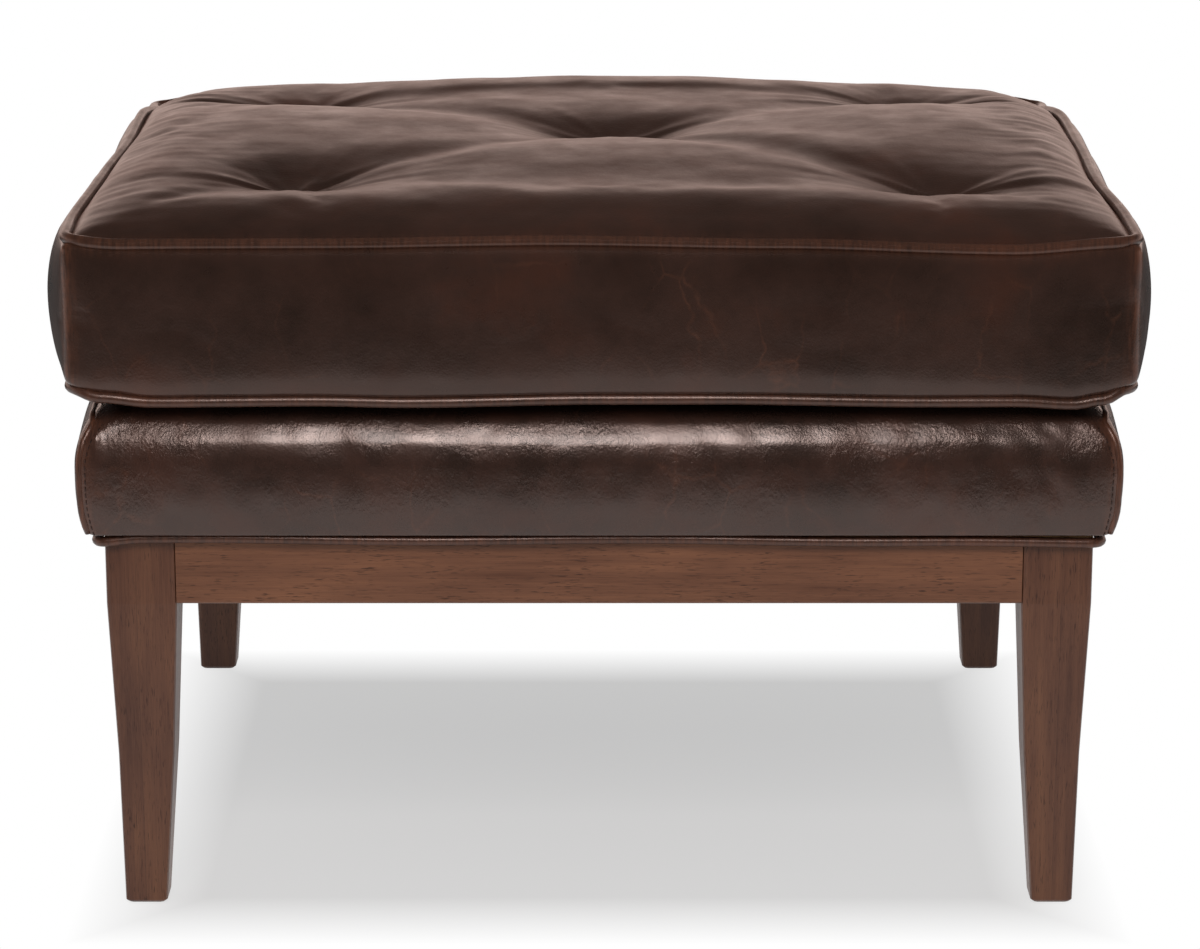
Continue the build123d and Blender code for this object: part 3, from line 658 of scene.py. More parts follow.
def climb(distance, reach):
    # how far the crown has climbed at a distance from its seam
    share = cushion["edgeShare"]
    distance = max(0.0, distance)
    steep = 1 - math.exp(-distance / cushion["edgeReach"])
    return share * steep + (1 - share) * (1 - (1 - min(1.0, distance / reach)) ** 2)


def crownLevel(x, y):
    bow = waveAt(cushion["leftBow"] if x < 0 else cushion["rightBow"], y)
    dx = cushion["halfX"] + bow - abs(x)
    dy = cushion["halfY"] - abs(y)
    base = cushion["seamTop"] + (topSeam(x, y) - cushion["seamTop"]) * math.exp(-max(0.0, min(dx, dy)) / 0.05)
    reachY = cushion["crownReachRear"] if y > 0 else cushion["crownReachY"]
    return base + cushion["crown"] * climb(dx, cushion["crownReachX"]) * climb(dy, reachY)


tuftDepths = [crownLevel(tuft[0], tuft[1]) - tuft[2] for tuft in tufts]


def tuftPlace(tuft, x, y):
    # how far a place lies along and across a tuft's pinch line
    tx, ty, level, halfLine, turn = tuft
    along = (x - tx) * math.cos(turn) + (y - ty) * math.sin(turn)
    across = (y - ty) * math.cos(turn) - (x - tx) * math.sin(turn)
    return along, across


def tuftDip(x, y):
    # how far the tufts draw the crown down, steeper on the near side of each
    shape = tuftShape
    dip = 0.0
    for tuft, depth in zip(tufts, tuftDepths):
        u, v = tuftPlace(tuft, x, y)
        # the puffs behind the rear tufts are lower
        behind = shape["behindRear"] if tuft[1] > shape["rearFrom"] else shape["behind"]
        pastEnd = max(0.0, abs(u) - tuft[3]) * shape["along"]
        r = math.hypot(pastEnd, v * (shape["before"] if v < 0 else behind))
        if r < shape["reach"]:
            fall = math.exp(-(r / shape["fall"]) ** shape["sharpness"])
            dip += depth * fall * (1 - (r / shape["reach"]) ** 2)
    mx, my = tufts[4][:2]
    for tx, ty, level, halfLine, turn in tufts[:4]:
        # a shallow valley from the middle tuft to each outer one
        length = math.hypot(tx - mx, ty - my)
        s = ((x - mx) * (tx - mx) + (y - my) * (ty - my)) / length ** 2
        q = abs((x - mx) * (ty - my) - (y - my) * (tx - mx)) / length
        ends = smoothStep(-0.1, 0.15, s) * smoothStep(1.1, 0.85, s)
        dip += shape["valley"] * ends * math.exp(-(q / shape["valleyHalf"]) ** 2)
    return dip


def cushionTop(lineX, lineY):
    x, y = cushionPlan(lineX, lineY)
    return x, y, crownLevel(x, y)


def cushionRing(lineX, lineY, ring):
    w, fullness = ring
    corner = cushion["corner"] + (cushion["boxCorner"] - cushion["corner"]) * fullness
    x, y = cushionPlan(lineX, lineY, cushion["cornerSwell"] * fullness, corner)
    along = min(1.0, abs(y) / cushion["halfY"])
    across = min(1.0, abs(x) / cushion["halfX"])
    rise = math.sin(math.pi * min(1.0, max(0.0, w))) ** 0.6
    onSide = smoothStep(cushion["halfX"] - 0.012, cushion["halfX"] + 0.002, abs(x))
    onFront = smoothStep(cushion["halfY"] - 0.012, cushion["halfY"] + 0.002, abs(y))
    gain = cushion["swell"] - cushion["cornerSwell"]
    sideBow = cushion["sideBow"] * rise * (1 - along ** 5)
    x += math.copysign(onSide * (gain * fullness * (1 - along ** 8) + sideBow), x)
    bow = cushion["frontBow"] * rise * (1 - across ** 2) if y < 0 else 0.0
    y += math.copysign(onFront * (gain * fullness * (1 - across ** 8) + bow), y)
    top, low = topSeam(x, y), lowSeam(x, y)
    return x, y, top + (low - top) * w


linesX = gridLines(cushion["halfX"], cushion["corner"], cushion["cell"], cushion["cornerCells"])
linesY = gridLines(cushion["halfY"], cushion["corner"], cushion["cell"], cushion["cornerCells"])
underneath = ((0.985, 0.6), (0.965, 0.9), (0.85, 1.0), (0.5, 1.0), (0.15, 1.0))
vertices, faces, rings = boxedShell(linesX, linesY, cushionTop, cushionRing, cushion["rings"],
                                    cushion["bottom"], underneath)
cushionBody = newObject("cushion_leather", vertices, faces, [crownLeather, boxingLeather])
topCount = len(linesX) * len(linesY)
topFaces = (len(linesX) - 1) * (len(linesY) - 1)
cushionBody.data.polygons.foreach_set("material_index", [0] * topFaces + [1] * (len(faces) - topFaces))
flat = np.array(vertices)
target = flat.copy()
for i in range(topCount):
    target[i, 2] -= tuftDip(flat[i, 0], flat[i, 1])
boxingEnd = rings[len(cushion["rings"])][0]
pinned = set(rings[0]) | set(range(boxingEnd, len(vertices)))
pulled = flat.copy()
caps = np.full(len(vertices), cushion["seamCap"])
caps[topCount:boxingEnd] = cushion["boxingCap"]
for i in range(topCount):
    x, y = flat[i, :2]
    inside = min(cushion["halfX"] - abs(x), cushion["halfY"] - abs(y))
    caps[i] = cushion["seamCap"] + cushion["crownCap"] * smoothStep(0.004, 0.050, inside)
    for tuft in tufts:
        u, v = tuftPlace(tuft, x, y)
        if abs(u) <= tuft[3] and abs(v) <= cushion["cell"] * 0.55:
            pinned.add(i)
            pulled[i, 2] = tuft[2]
cushionBody.shape_key_add(name="sewn flat")
key = cushionBody.shape_key_add(name="tufts pulled")
key.data.foreach_set("co", pulled.ravel())
key.value = 0.0
key.keyframe_insert("value", frame=1)
key.value = 1.0
key.keyframe_insert("value", frame=cushion["pullFrames"])
puff(cushionBody, sorted(pinned), target, caps, cushion["cloth"])
closeUnderneath(subdivideOnce(cushionBody))


folds = {
    "fan": 0.0064,
    "fanReach": 0.20,
    "side": 0.0016,
    "front": 0.0012,
    "crown": 0.0010,
}


def foldHeight(x, y):
    # soft folds that fan out from the tufts, and gathers along the seams
    height = 0.0
    mx, my = tufts[4][:2]
    for number, (tx, ty, level, halfLine, turn) in enumerate(tufts):
        r = math.hypot(x - tx, y - ty)
        if r > folds["fanReach"] or r < 0.002:
            continue
        angle = math.atan2(y - ty, x - tx)
        inward = max(0.0, math.cos(angle - math.atan2(my - ty, mx - tx))) ** 3
        outward = 0.8 * max(0.0, math.cos(angle - (0.0 if tx > 0 else math.pi))) ** 4
        if number == 4:
            towards = max(abs(math.sin(2 * angle)) ** 3, 0.25)
        else:
            towards = max(inward, outward, 0.22)
        u, v = math.cos(angle), math.sin(angle)
        fan = noise.noise(Vector((2.6 * u, 2.6 * v, 7.3 * number + r / 0.16)))
        fan += 0.5 * noise.noise(Vector((6.2 * u, 6.2 * v, 3.1 * number + r / 0.12)))
        reach = (1 - math.exp(-r / 0.016)) * math.exp(-r / 0.062)
        height += folds["fan"] * towards * reach * fan
    dx = cushion["halfX"] - abs(x)
    dy = cushion["halfY"] - abs(y)
    inX, inY = max(0.0, dx), max(0.0, dy)
    side = math.exp(-inX / 0.045) * (1 - math.exp(-inX / 0.010)) * smoothStep(0.0, 0.03, dy)
    height += folds["side"] * side * noise.noise(Vector((x / 0.09, y / 0.0125, 3.0 if x > 0 else 9.0)))
    front = math.exp(-inY / 0.012) * (1 - math.exp(-inY / 0.004))
    height += folds["front"] * front * noise.noise(Vector((x / 0.008, y / 0.06, 5.0)))
    uneven = noise.noise(Vector((x / 0.05, y / 0.05, 1.0)))
    height += folds["crown"] * uneven * smoothStep(0.0, 0.05, min(dx, dy))
    return height


def pinchShift(x, y):
    # the near lip of each tuft leans over its pinch line
    shape = tuftShape
    shift = 0.0
    for tuft in tufts:
        u, v = tuftPlace(tuft, x, y)
        lip = math.exp(-((v + shape["leanHalf"]) / shape["leanHalf"]) ** 2)
        shift += shape["lean"] * lip * math.exp(-(u / (tuft[3] + shape["leanPast"])) ** 2)
    return shift


for vertex in cushionBody.data.vertices:
    x, y, z = vertex.co
    if z > topSeam(x, y) + 0.0008:
        vertex.co.z += foldHeight(x, y)
        vertex.co.y += pinchShift(x, y)
    elif z > cushion["seamBottom"] + 0.004:
        # the boxing is a little uneven, and on the back it opens round the zip
        w = (cushion["seamTop"] - z) / (cushion["seamTop"] - cushion["seamBottom"])
        rise = math.sin(math.pi * min(1.0, max(0.0, w)))
        ripple = cushion["ripple"] * rise * noise.noise(Vector((x / 0.07, y / 0.07, z / 0.05)))
        gathered = cushion["gather"] * math.exp(-max(0.0, w) / 0.10)
        ripple += gathered * noise.noise(Vector((x / 0.020, y / 0.020, z / 0.04)))
        if abs(y) > cushion["halfY"]:
            vertex.co.y += math.copysign(ripple, y)
            if y > 0:
                offSlot = abs(z - cushion["slotLevel"])
                slot = smoothStep(0.0072, 0.0058, offSlot)
                slot *= smoothStep(cushion["slotHalf"] + 0.004, cushion["slotHalf"] - 0.001, abs(x))
                lip = math.exp(-((offSlot - cushion["lipLevel"]) / cushion["lipHalf"]) ** 2)
                deep = slot * max(0.0, vertex.co.y - cushion["slotDepth"])
                vertex.co.y += cushion["lipRise"] * lip * (1 - slot) - deep
        else:
            vertex.co.x += math.copysign(ripple, x)
cushionBody.data.update()
cushionSurface = surfaceOf(cushionBody)
print("cushion made:", len(cushionBody.data.polygons), "faces")


def seamPath(level, grow):
    # the middle line of a welt, once round
    path = []
    for i, j in edgeLoop(len(linesX), len(linesY)):
        x, y = cushionPlan(linesX[i], linesY[j], grow)
        path.append(Vector((x, y, level(x, y))))
    return path


topPath = seamPath(topSeam, cushion["weltOut"])
lowPath = seamPath(lowSeam, cushion["weltOut"])
weltTop, weltBottom = (tube(f"cushion_welt_{place}_leather", path, cushion["weltRadius"], 14, [weltLeather])
                       for place, path in (("top", topPath), ("bottom", lowPath)))

# Deck
deck = {
    "halfX": 0.3535,
    "halfY": 0.3060,
    "cell": 0.007,
    "cornerCells": 5,
    "low": 0.2722,
    "top": 0.3659,
    "topDraw": 0.036,
    "lowDraw": 0.0045,
    "corner": 0.010,
    "topCorner": 0.040,
    "endBow": 0.012,
    "frontBow": 0.002,
    "shares": (0.0, 0.08, 0.19, 0.32, 0.57, 0.73, 0.85, 0.94, 1.0),
    "lowShares": (1.0, 0.50, 0.17, 0.0, 0.0, 0.0, 0.0, 0.0, 0.0),
    "topShares": (0.0, 0.0, 0.0, 0.0, 0.0, 0.08, 0.25, 0.52, 1.0),
    "bowShares": (0.0, 0.4, 0.75, 1.0, 1.0, 0.85, 0.6, 0.3, 0.0),
    "rings": (0.985, 0.965, 0.94, 0.91, 0.88, 0.85, 0.81, 0.77, 0.72, 0.66, 0.59, 0.51, 0.43, 0.35, 0.27,
              0.20, 0.14, 0.09, 0.05, 0.02, 0.0),
    "sideCap": 0.0009,
    "cloth": {"mass": 0.3, "stretch": 18.0, "shear": 8.0, "bend": 1.5, "damping": 8.0, "pressure": 3.0,
              "excess": 0.010, "frames": 14},
    # the depth of the slack folds, of the light unevenness and of the crease at the left
    "slack": 0.0022,
    "uneven": 0.0009,
    "crease": 0.0020,
    "creaseX": 0.3385,
    "creaseHalf": 0.0022,
    "endSeamShare": 0.86,
    "endWeltRadius": 0.0026,
    "endWeltSunk": 0.0004,
    "weltRadius": 0.0036,
    "weltLevel": 0.2685,
    "weltHalfX": 0.3421,
    "weltHalfY": 0.2946,
    "weltCorner": 0.0085,
    "weltFront": ((-0.345, -0.0022), (-0.31, 0.0004), (-0.10, -0.0004), (0.05, 0.0), (0.22, -0.0014),
                  (0.33, -0.0028)),
}


def deckPlan(lineX, lineY, share):
    low = float(np.interp(share, deck["shares"], deck["lowShares"]))
    high = float(np.interp(share, deck["shares"], deck["topShares"]))
    bow = float(np.interp(share, deck["shares"], deck["bowShares"]))
    halfX = deck["halfX"] - deck["lowDraw"] * low - deck["topDraw"] * high
    halfY = deck["halfY"] - deck["lowDraw"] * low - deck["topDraw"] * high
    x, y = planPoint(lineX, lineY, halfX, halfY, deck["corner"] + (deck["topCorner"] - deck["corner"]) * high)
    along = min(1.0, abs(y) / halfY)
    across = min(1.0, abs(x) / halfX)
    return (x * (1 + deck["endBow"] * bow * (1 - along ** 2) / deck["halfX"] * across ** 8),
            y * (1 + deck["frontBow"] * bow * (1 - across ** 2) / deck["halfY"] * along ** 8))


def deckPoint(lineX, lineY, share=1.0):
    x, y = deckPlan(lineX, lineY, share)
    return x, y, deck["low"] + (deck["top"] - deck["low"]) * share


deckLinesX = gridLines(deck["halfX"], deck["corner"], deck["cell"], deck["cornerCells"])
deckLinesY = gridLines(deck["halfY"], deck["corner"], deck["cell"], deck["cornerCells"])
vertices, faces, rings = boxedShell(deckLinesX, deckLinesY, deckPoint, deckPoint, deck["rings"], deck["low"],
                                    ((0.98, 1.0), (0.8, 1.0), (0.4, 1.0), (0.15, 1.0)))
deckBody = newObject("deck_leather", vertices, faces, [deckLeather])
deckTopCount = len(deckLinesX) * len(deckLinesY)
ringsEnd = rings[len(deck["rings"])][0]
caps = np.zeros(len(vertices))
caps[deckTopCount:ringsEnd] = deck["sideCap"]
held = list(range(deckTopCount)) + list(range(ringsEnd, len(vertices)))
puff(deckBody, held, np.array(vertices), caps, deck["cloth"])
closeUnderneath(subdivideOnce(deckBody))
for vertex in deckBody.data.vertices:
    # slack folds at the right end, one upright crease at the left, and a light unevenness
    x, y, z = vertex.co
    share = (z - deck["low"]) / (deck["top"] - deck["low"])
    if 0.02 < share < 0.995 and abs(y) > 0.27:
        middle = math.sin(math.pi * share) ** 0.5
        slack = smoothStep(0.20, 0.31, x) * middle
        dent = deck["slack"] * slack * noise.noise(Vector(((x + 0.5 * z) / 0.022, 2.0, (z - 0.3 * x) / 0.06)))
        dent += deck["uneven"] * middle * noise.noise(Vector((x / 0.035, 4.0, z / 0.05)))
        offCrease = (x + deck["creaseX"] + 0.1 * (z - 0.34)) / deck["creaseHalf"]
        dent -= deck["crease"] * math.exp(-offCrease ** 2) * smoothStep(0.40, 0.75, share)
        vertex.co.y += math.copysign(dent, y)
deckBody.data.update()
deckSurface = surfaceOf(deckBody)
print("deck made:", len(deckBody.data.polygons), "faces")


def roundedPath(halfX, halfY, radius, level, step=0.004):
    # a rounded rectangle in plan, as evenly spaced points
    path = []
    for turn in range(4):
        reach, half = (halfY, halfX) if turn % 2 == 0 else (halfX, halfY)
        straight = half - radius
        count = round(2 * straight / step)
        run = [(straight * (2 * i / count - 1), -reach) for i in range(count)]
        run += [(straight + radius * math.sin(a), radius * (1 - math.cos(a)) - reach)
                for a in (math.pi / 2 * i / 8 for i in range(8))]
        for u, v in run:
            for _ in range(turn):
                u, v = -v, u
            path.append(Vector((u, v, level(u, v))))
    return path


def deckWeltLevel(x, y):
    front = smoothStep(-0.20, -0.29, y)
    wander = 0.0005 * math.sin(23 * x + 17 * y)
    return deck["weltLevel"] + front * waveAt(deck["weltFront"], x) + wander


deckWeltPath = roundedPath(deck["weltHalfX"], deck["weltHalfY"], deck["weltCorner"], deckWeltLevel)
deckWelt = tube("deck_welt_bottom_leather", deckWeltPath, deck["weltRadius"], 12, [weltLeather])


def endSeam(side, inward=0.0):
    # up the front corner, back along the top edge and down the rear corner
    path = []
    for i in range(15):
        share = 0.02 + (deck["endSeamShare"] - 0.06) * i / 14
        path.append(Vector(deckPoint((1.0, 1.0 - 0.7 * inward), (-1.0, -1.0), share)))
    for lineY in deckLinesY[4:-4]:
        path.append(Vector(deckPoint((1.0, 1.0), lineY, deck["endSeamShare"] + 0.05 * inward)))
    path += [Vector((p.x, -p.y, p.z)) for p in reversed(path[:15])]
    return [Vector((side * p.x, p.y, p.z)) for p in path]


endSeams, endWelts = [], []
for side, place in ((1, "right"), (-1, "left")):
    endSeams.append(layOn(deckSurface, endSeam(side), -deck["endWeltSunk"]))
    endWelts.append(tube(f"deck_welt_{place}_leather", endSeams[-1], deck["endWeltRadius"], 10, [weltLeather],
                         closed=False, up=(1, 0.1, 0.2)))

# Rubbed places along the seams
boxCorners = []
for lineX in (linesX[0], linesX[-1]):
    for lineY in (linesY[0], linesY[-1]):
        boxCorners += [(Vector(cushionRing(lineX, lineY, ring)), 0.75) for ring in cushion["rings"]]
setWear(cushionBody, [(p, 0.45) for p in topPath + lowPath] + boxCorners, 0.014)
setWear(deckBody, [(p, 0.35) for p in deckWeltPath] + [(p, 0.7) for p in endSeams[0] + endSeams[1]], 0.016)
weltWear = [(weltTop, 0.35), (weltBottom, 0.30), (deckWelt, 0.45)] + [(welt, 0.60) for welt in endWelts]
for welt, rubbed in weltWear:
    values = [rubbed] * len(welt.data.vertices)
    welt.data.attributes.new("wear", "FLOAT", "POINT").data.foreach_set("value", values)
print("welts made")


# Small repeated pieces
def repeatTree(name, shape):
    # points at a pitch along the path, and one small piece on each, turned to the path
    tree = bpy.data.node_groups.new(name, "GeometryNodeTree")
    face = tree.interface
    face.new_socket(name="Path", in_out="INPUT", socket_type="NodeSocketGeometry")
    for socket in ("Pitch", "Length", "Width", "Height", "Sidestep"):
        face.new_socket(name=socket, in_out="INPUT", socket_type="NodeSocketFloat")
    face.new_socket(name="Finish", in_out="INPUT", socket_type="NodeSocketMaterial")
    face.new_socket(name="Pieces", in_out="OUTPUT", socket_type="NodeSocketGeometry")
    source = tree.nodes.new("NodeGroupInput").outputs
    curve = addNode(tree, "GeometryNodeMeshToCurve", None, {0: source["Path"]})
    points = addNode(tree, "GeometryNodeCurveToPoints", {"mode": "LENGTH"},
                     {"Curve": curve.outputs[0], "Length": source["Pitch"]})
    size = addNode(tree, "ShaderNodeCombineXYZ", None,
                   {0: source["Length"], 1: source["Width"], 2: source["Height"]})
    if shape == "bar":
        piece = addNode(tree, "GeometryNodeMeshCube", None, {"Size": size.outputs[0]})
    else:
        ball = addNode(tree, "GeometryNodeMeshUVSphere", {"Segments": 8, "Rings": 5, "Radius": 0.5})
        piece = addNode(tree, "GeometryNodeTransform", None,
                        {"Geometry": ball.outputs[0], "Scale": size.outputs[0]})
    turn = addNode(tree, "FunctionNodeAlignRotationToVector", {"axis": "X"},
                   {"Vector": points.outputs["Tangent"]})
    index = addNode(tree, "GeometryNodeInputIndex").outputs[0]
    odd = mathNode(tree, "MODULO", index, 2.0)
    swing = mathNode(tree, "MULTIPLY", mathNode(tree, "SUBTRACT", odd, 0.5), source["Sidestep"])
    step = addNode(tree, "ShaderNodeCombineXYZ", None, {2: swing})
    moved = addNode(tree, "GeometryNodeSetPosition", None,
                    {"Geometry": points.outputs["Points"], "Offset": step.outputs[0]})
    placed = addNode(tree, "GeometryNodeInstanceOnPoints", None,
                     {"Points": moved.outputs[0], "Instance": piece.outputs[0], "Rotation": turn.outputs[0]})
    real = addNode(tree, "GeometryNodeRealizeInstances", None, {0: placed.outputs[0]})
    dressed = addNode(tree, "GeometryNodeSetMaterial", None,
                      {"Geometry": real.outputs[0], "Material": source["Finish"]})
    sink = tree.nodes.new("NodeGroupOutput")
    tree.links.new(dressed.outputs[0], sink.inputs[0])
    return tree


def repeatAlong(name, paths, tree, sizes, finish):
    vertices, edges = [], []
    for path in paths:
        start = len(vertices)
        vertices += [tuple(p) for p in path]
        edges += [(start + i, start + i + 1) for i in range(len(path) - 1)]
    mesh = bpy.data.meshes.new(name)
    mesh.from_pydata(vertices, edges, [])
    made = bpy.data.objects.new(name, mesh)
    bpy.context.scene.collection.objects.link(made)
    step = made.modifiers.new("repeat", "NODES")
    step.node_group = tree
    for socket in tree.interface.items_tree:
        if socket.in_out == "INPUT" and socket.name in sizes:
            step[socket.identifier] = sizes[socket.name]
        if socket.in_out == "INPUT" and socket.name == "Finish":
            step[socket.identifier] = finish
    return keepResult(made)


stitchTree = repeatTree("stitches along a seam", "bead")
barTree = repeatTree("small bars along a line", "bar")
stitchSizes = {"Pitch": 0.0048, "Length": 0.0036, "Width": 0.0009, "Height": 0.0009, "Sidestep": 0.0}
zipStitchSizes = dict(stitchSizes, Pitch=0.0040, Length=0.0029)
toothSizes = {"Pitch": 0.0013, "Length": 0.0009, "Width": 0.0018, "Height": 0.0030, "Sidestep": 0.0018}
stapleSizes = {"Pitch": 0.032, "Length": 0.0105, "Width": 0.0010, "Height": 0.0007, "Sidestep": 0.0}
zipper = {
    "stitchOffset": 0.0115,
    "stitchDepth": 0.3125,
    "stitchHalf": 0.2790,
    "toothDepth": 0.3102,
    "toothHalf": 0.2785,
    "tapeDepth": 0.3086,
    "tapeHalf": 0.2795,
    "tapeWeave": 0.00012,
    "tapeRows": (-0.0064, -0.0030, 0.0, 0.0030, 0.0064),
    "tapeCells": 280,
}
cover = {
    "halfX": 0.3217,
    "halfY": 0.2742,
    "level": 0.2660,
    "sag": 0.0007,
    "ruffle": 0.00025,
    "cellsX": 64,
    "cellsY": 56,
    "stapleX": 0.309,
    "stapleY": 0.262,
    "stapleLevel": 0.2652,
    "rowHalfX": 0.240,
    "rowHalfY": 0.190,
}


def backRow(level, depth, half):
    # a level line along the back
    return [Vector((half * (2 * i / 140 - 1), depth, level)) for i in range(141)]


seamRows = [layOn(deckSurface, endSeam(side, 1.0), 0.0002) for side in (1, -1)]
deckStitches = repeatAlong("deck_seam_stitches", seamRows, stitchTree, stitchSizes, finishes["thread"])
zipRows = []
for offset in (-zipper["stitchOffset"], zipper["stitchOffset"]):
    row = backRow(cushion["slotLevel"] + offset, zipper["stitchDepth"], zipper["stitchHalf"])
    zipRows.append(layOn(cushionSurface, row, 0.0002))
zipStitches = repeatAlong("zip_stitches", zipRows, stitchTree, zipStitchSizes, finishes["thread"])
toothRow = backRow(cushion["slotLevel"], zipper["toothDepth"], zipper["toothHalf"])
zipTeeth = repeatAlong("zip_teeth", [toothRow], barTree, toothSizes, finishes["brass"])
edgeRuns = []
for side in (-1, 1):
    edgeRuns.append([Vector((end * cover["rowHalfX"], side * cover["stapleY"], cover["stapleLevel"]))
                     for end in (-1, 1)])
for side in (-1, 1):
    edgeRuns.append([Vector((side * cover["stapleX"], end * cover["rowHalfY"], cover["stapleLevel"]))
                     for end in (-1, 1)])
staples = repeatAlong("dust_cover_staples", edgeRuns, barTree, stapleSizes, finishes["steel"])
print("stitches, teeth and staples made")


# Zip tape and dust cover
def gridSheet(name, columns, rows, pointAt, finish):
    # a flat cloth of cells; pointAt gives the place of each grid point
    places = [pointAt(i, j) for i in range(columns + 1) for j in range(rows + 1)]
    step = rows + 1
    cells = [(i * step + j, i * step + j + 1, (i + 1) * step + j + 1, (i + 1) * step + j)
             for i in range(columns) for j in range(rows)]
    return newObject(name, places, cells, [finish])


def tapePoint(i, j):
    half, offset = zipper["tapeHalf"], zipper["tapeRows"][j]
    x = -half + 2 * half * i / zipper["tapeCells"]
    weave = zipper["tapeWeave"] * math.sin(x / 0.0011) if offset else 0.0
    return x, zipper["tapeDepth"] + weave, cushion["slotLevel"] + offset


def coverPoint(i, j):
    # it sags a little between its stapled edges
    u, v = 2 * i / cover["cellsX"] - 1, 2 * j / cover["cellsY"] - 1
    sag = cover["sag"] * (1 - u ** 4) * (1 - v ** 4)
    ruffle = cover["ruffle"] * noise.noise(Vector((u * 9, v * 3, 0.5))) * (1 - max(abs(u), abs(v)) ** 6)
    return cover["halfX"] * u, cover["halfY"] * v, cover["level"] - sag + ruffle


zipTape = gridSheet("zip_tape_cloth", zipper["tapeCells"], len(zipper["tapeRows"]) - 1, tapePoint,
                    finishes["tape"])
dustCover = gridSheet("dust_cover_cloth", cover["cellsX"], cover["cellsY"], coverPoint, finishes["cover"])

# Finishes of the CAD nodes that stay, by how their names begin; the rest is leather
nodeFinishes = [
    (("leg_front", "leg_rear"), legWood),
    (("rail_front", "rail_rear"), frontRailWood),
    (("rail_left", "rail_right"), sideRailWood),
    (("corner_block", "deck_rail", "deck_frame"), finishes["frame"]),
    (("corner_bolts", "deck_fixing_screws"), finishes["steel"]),
    (("leg_glides",), finishes["nylon"]),
    (("webbing",), finishes["webbing"]),
    (("deck_foam", "cushion_foam", "cushion_crown_pad"), finishes["foam"]),
    (("dust_cover",), finishes["cover"]),
    (("tuft",), finishes["felt"]),
    (("zip_tape",), finishes["tape"]),
    (("zip",), finishes["brass"]),
]
for name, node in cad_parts.items():
    fitting = [finish for starts, finish in nodeFinishes if name.startswith(starts)]
    for place in node.material_slots:
        place.material = (fitting + [boxingLeather])[0]

# Bodies and replaced solids
base, loose = "stool_base", "loose_cushion"
dressing = [
    (cushionBody, loose, "leather", ["cushion_top_panel", "cushion_bottom_panel", "cushion_boxing_front",
                                     "cushion_boxing_left", "cushion_boxing_right", "cushion_boxing_back",
                                     "cushion_foam_core", "cushion_crown_pad"]),
    (weltTop, loose, "welt_leather", ["cushion_welt_top"]),
    (weltBottom, loose, "welt_leather", ["cushion_welt_bottom"]),
    (zipTeeth, loose, "zip_brass", ["zip_chain"]),
    (zipTape, loose, "zip_tape", ["zip_tape"]),
    (zipStitches, loose, "felt_and_twine", []),
    (deckBody, base, "leather", ["deck_leather_wrap", "deck_leather_left", "deck_leather_right",
                                 "deck_foam_slab", "deck_foam_front", "deck_foam_rear", "deck_foam_left",
                                 "deck_foam_right"]),
    (deckWelt, base, "welt_leather", ["deck_welt_bottom"]),
    (endWelts[0], base, "welt_leather", ["deck_welt_right"]),
    (endWelts[1], base, "welt_leather", ["deck_welt_left"]),
    (deckStitches, base, "felt_and_twine", []),
    (dustCover, base, "cover_cloth", ["dust_cover"]),
    (staples, base, "zinc_steel", []),
]
for piece, body, slotName, hidden in dressing:
    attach(piece, body)
    if hidden:
        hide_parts(*hidden)

# Floor, light and camera
studio = {
    "floor": "#f4f4f4",
    "floorLift": 0.79,
    "floorHeld": 0.65,
    "floorInGloss": 0.50,
    "shadowHalf": (0.305, 0.275),
    "shadowShift": 0.025,
    "shadowEdge": (-0.03, 0.06),
    # in the gloss the floor turns dark between these places in front and behind
    "darkAhead": (-0.90, -1.40, 0.0, 1.0),
    "darkBehind": (0.40, 0.90, 0.0, 0.92),
    "darkTone": 0.02,
    "skyForLight": 0.36,
    "skyInGloss": 1.45,
    # in the gloss the sky is dark in front and overhead
    "skyAhead": (-0.80, -0.10, 0.03, 1.0),
    "skyHigh": (0.14, 0.45, 1.0, 0.06),
    "glossTint": "#ffe2d6",
}
floor = newObject("floor", [(-9, -9, 0), (9, -9, 0), (9, 9, 0), (-9, 9, 0)], [(0, 1, 2, 3)], [], smooth=False)
# flat white, with an even grey shadow under the stool
floorPaint, tree, shader = newMaterial("matt white paint of the studio floor")
shader.inputs["Base Color"].default_value = linearColour(studio["floor"])
shader.inputs["Roughness"].default_value = 0.9
shader.inputs["Specular IOR Level"].default_value = 0.1
output = [n for n in tree.nodes if n.type == "OUTPUT_MATERIAL"][0]
place = addNode(tree, "ShaderNodeTexCoord").outputs["Object"]
parts = addNode(tree, "ShaderNodeSeparateXYZ", None, {0: place})
rays = addNode(tree, "ShaderNodeLightPath")
cameraRay, glossRay = rays.outputs["Is Camera Ray"], rays.outputs["Is Glossy Ray"]
lift = addNode(tree, "ShaderNodeEmission", {"Color": (1, 1, 1, 1), "Strength": studio["floorLift"]})
inGloss = mathNode(tree, "MULTIPLY", glossRay, studio["floorInGloss"])
glow = addNode(tree, "ShaderNodeEmission", {"Color": (1, 1, 1, 1)}, {"Strength": inGloss})
evened = mathNode(tree, "MULTIPLY", cameraRay, studio["floorHeld"])
held = addNode(tree, "ShaderNodeMixShader", None, {0: evened, 1: shader.outputs[0], 2: lift.outputs[0]})
near = addNode(tree, "ShaderNodeAddShader", None, {0: held.outputs[0], 1: glow.outputs[0]})
white = addNode(tree, "ShaderNodeEmission", {"Color": (1, 1, 1, 1), "Strength": 1.0})
sideways = mathNode(tree, "ABSOLUTE", parts.outputs["X"])
awayX = mathNode(tree, "SUBTRACT", sideways, studio["shadowHalf"][0])
shifted = mathNode(tree, "ABSOLUTE", mathNode(tree, "ADD", parts.outputs["Y"], studio["shadowShift"]))
awayY = mathNode(tree, "SUBTRACT", shifted, studio["shadowHalf"][1])
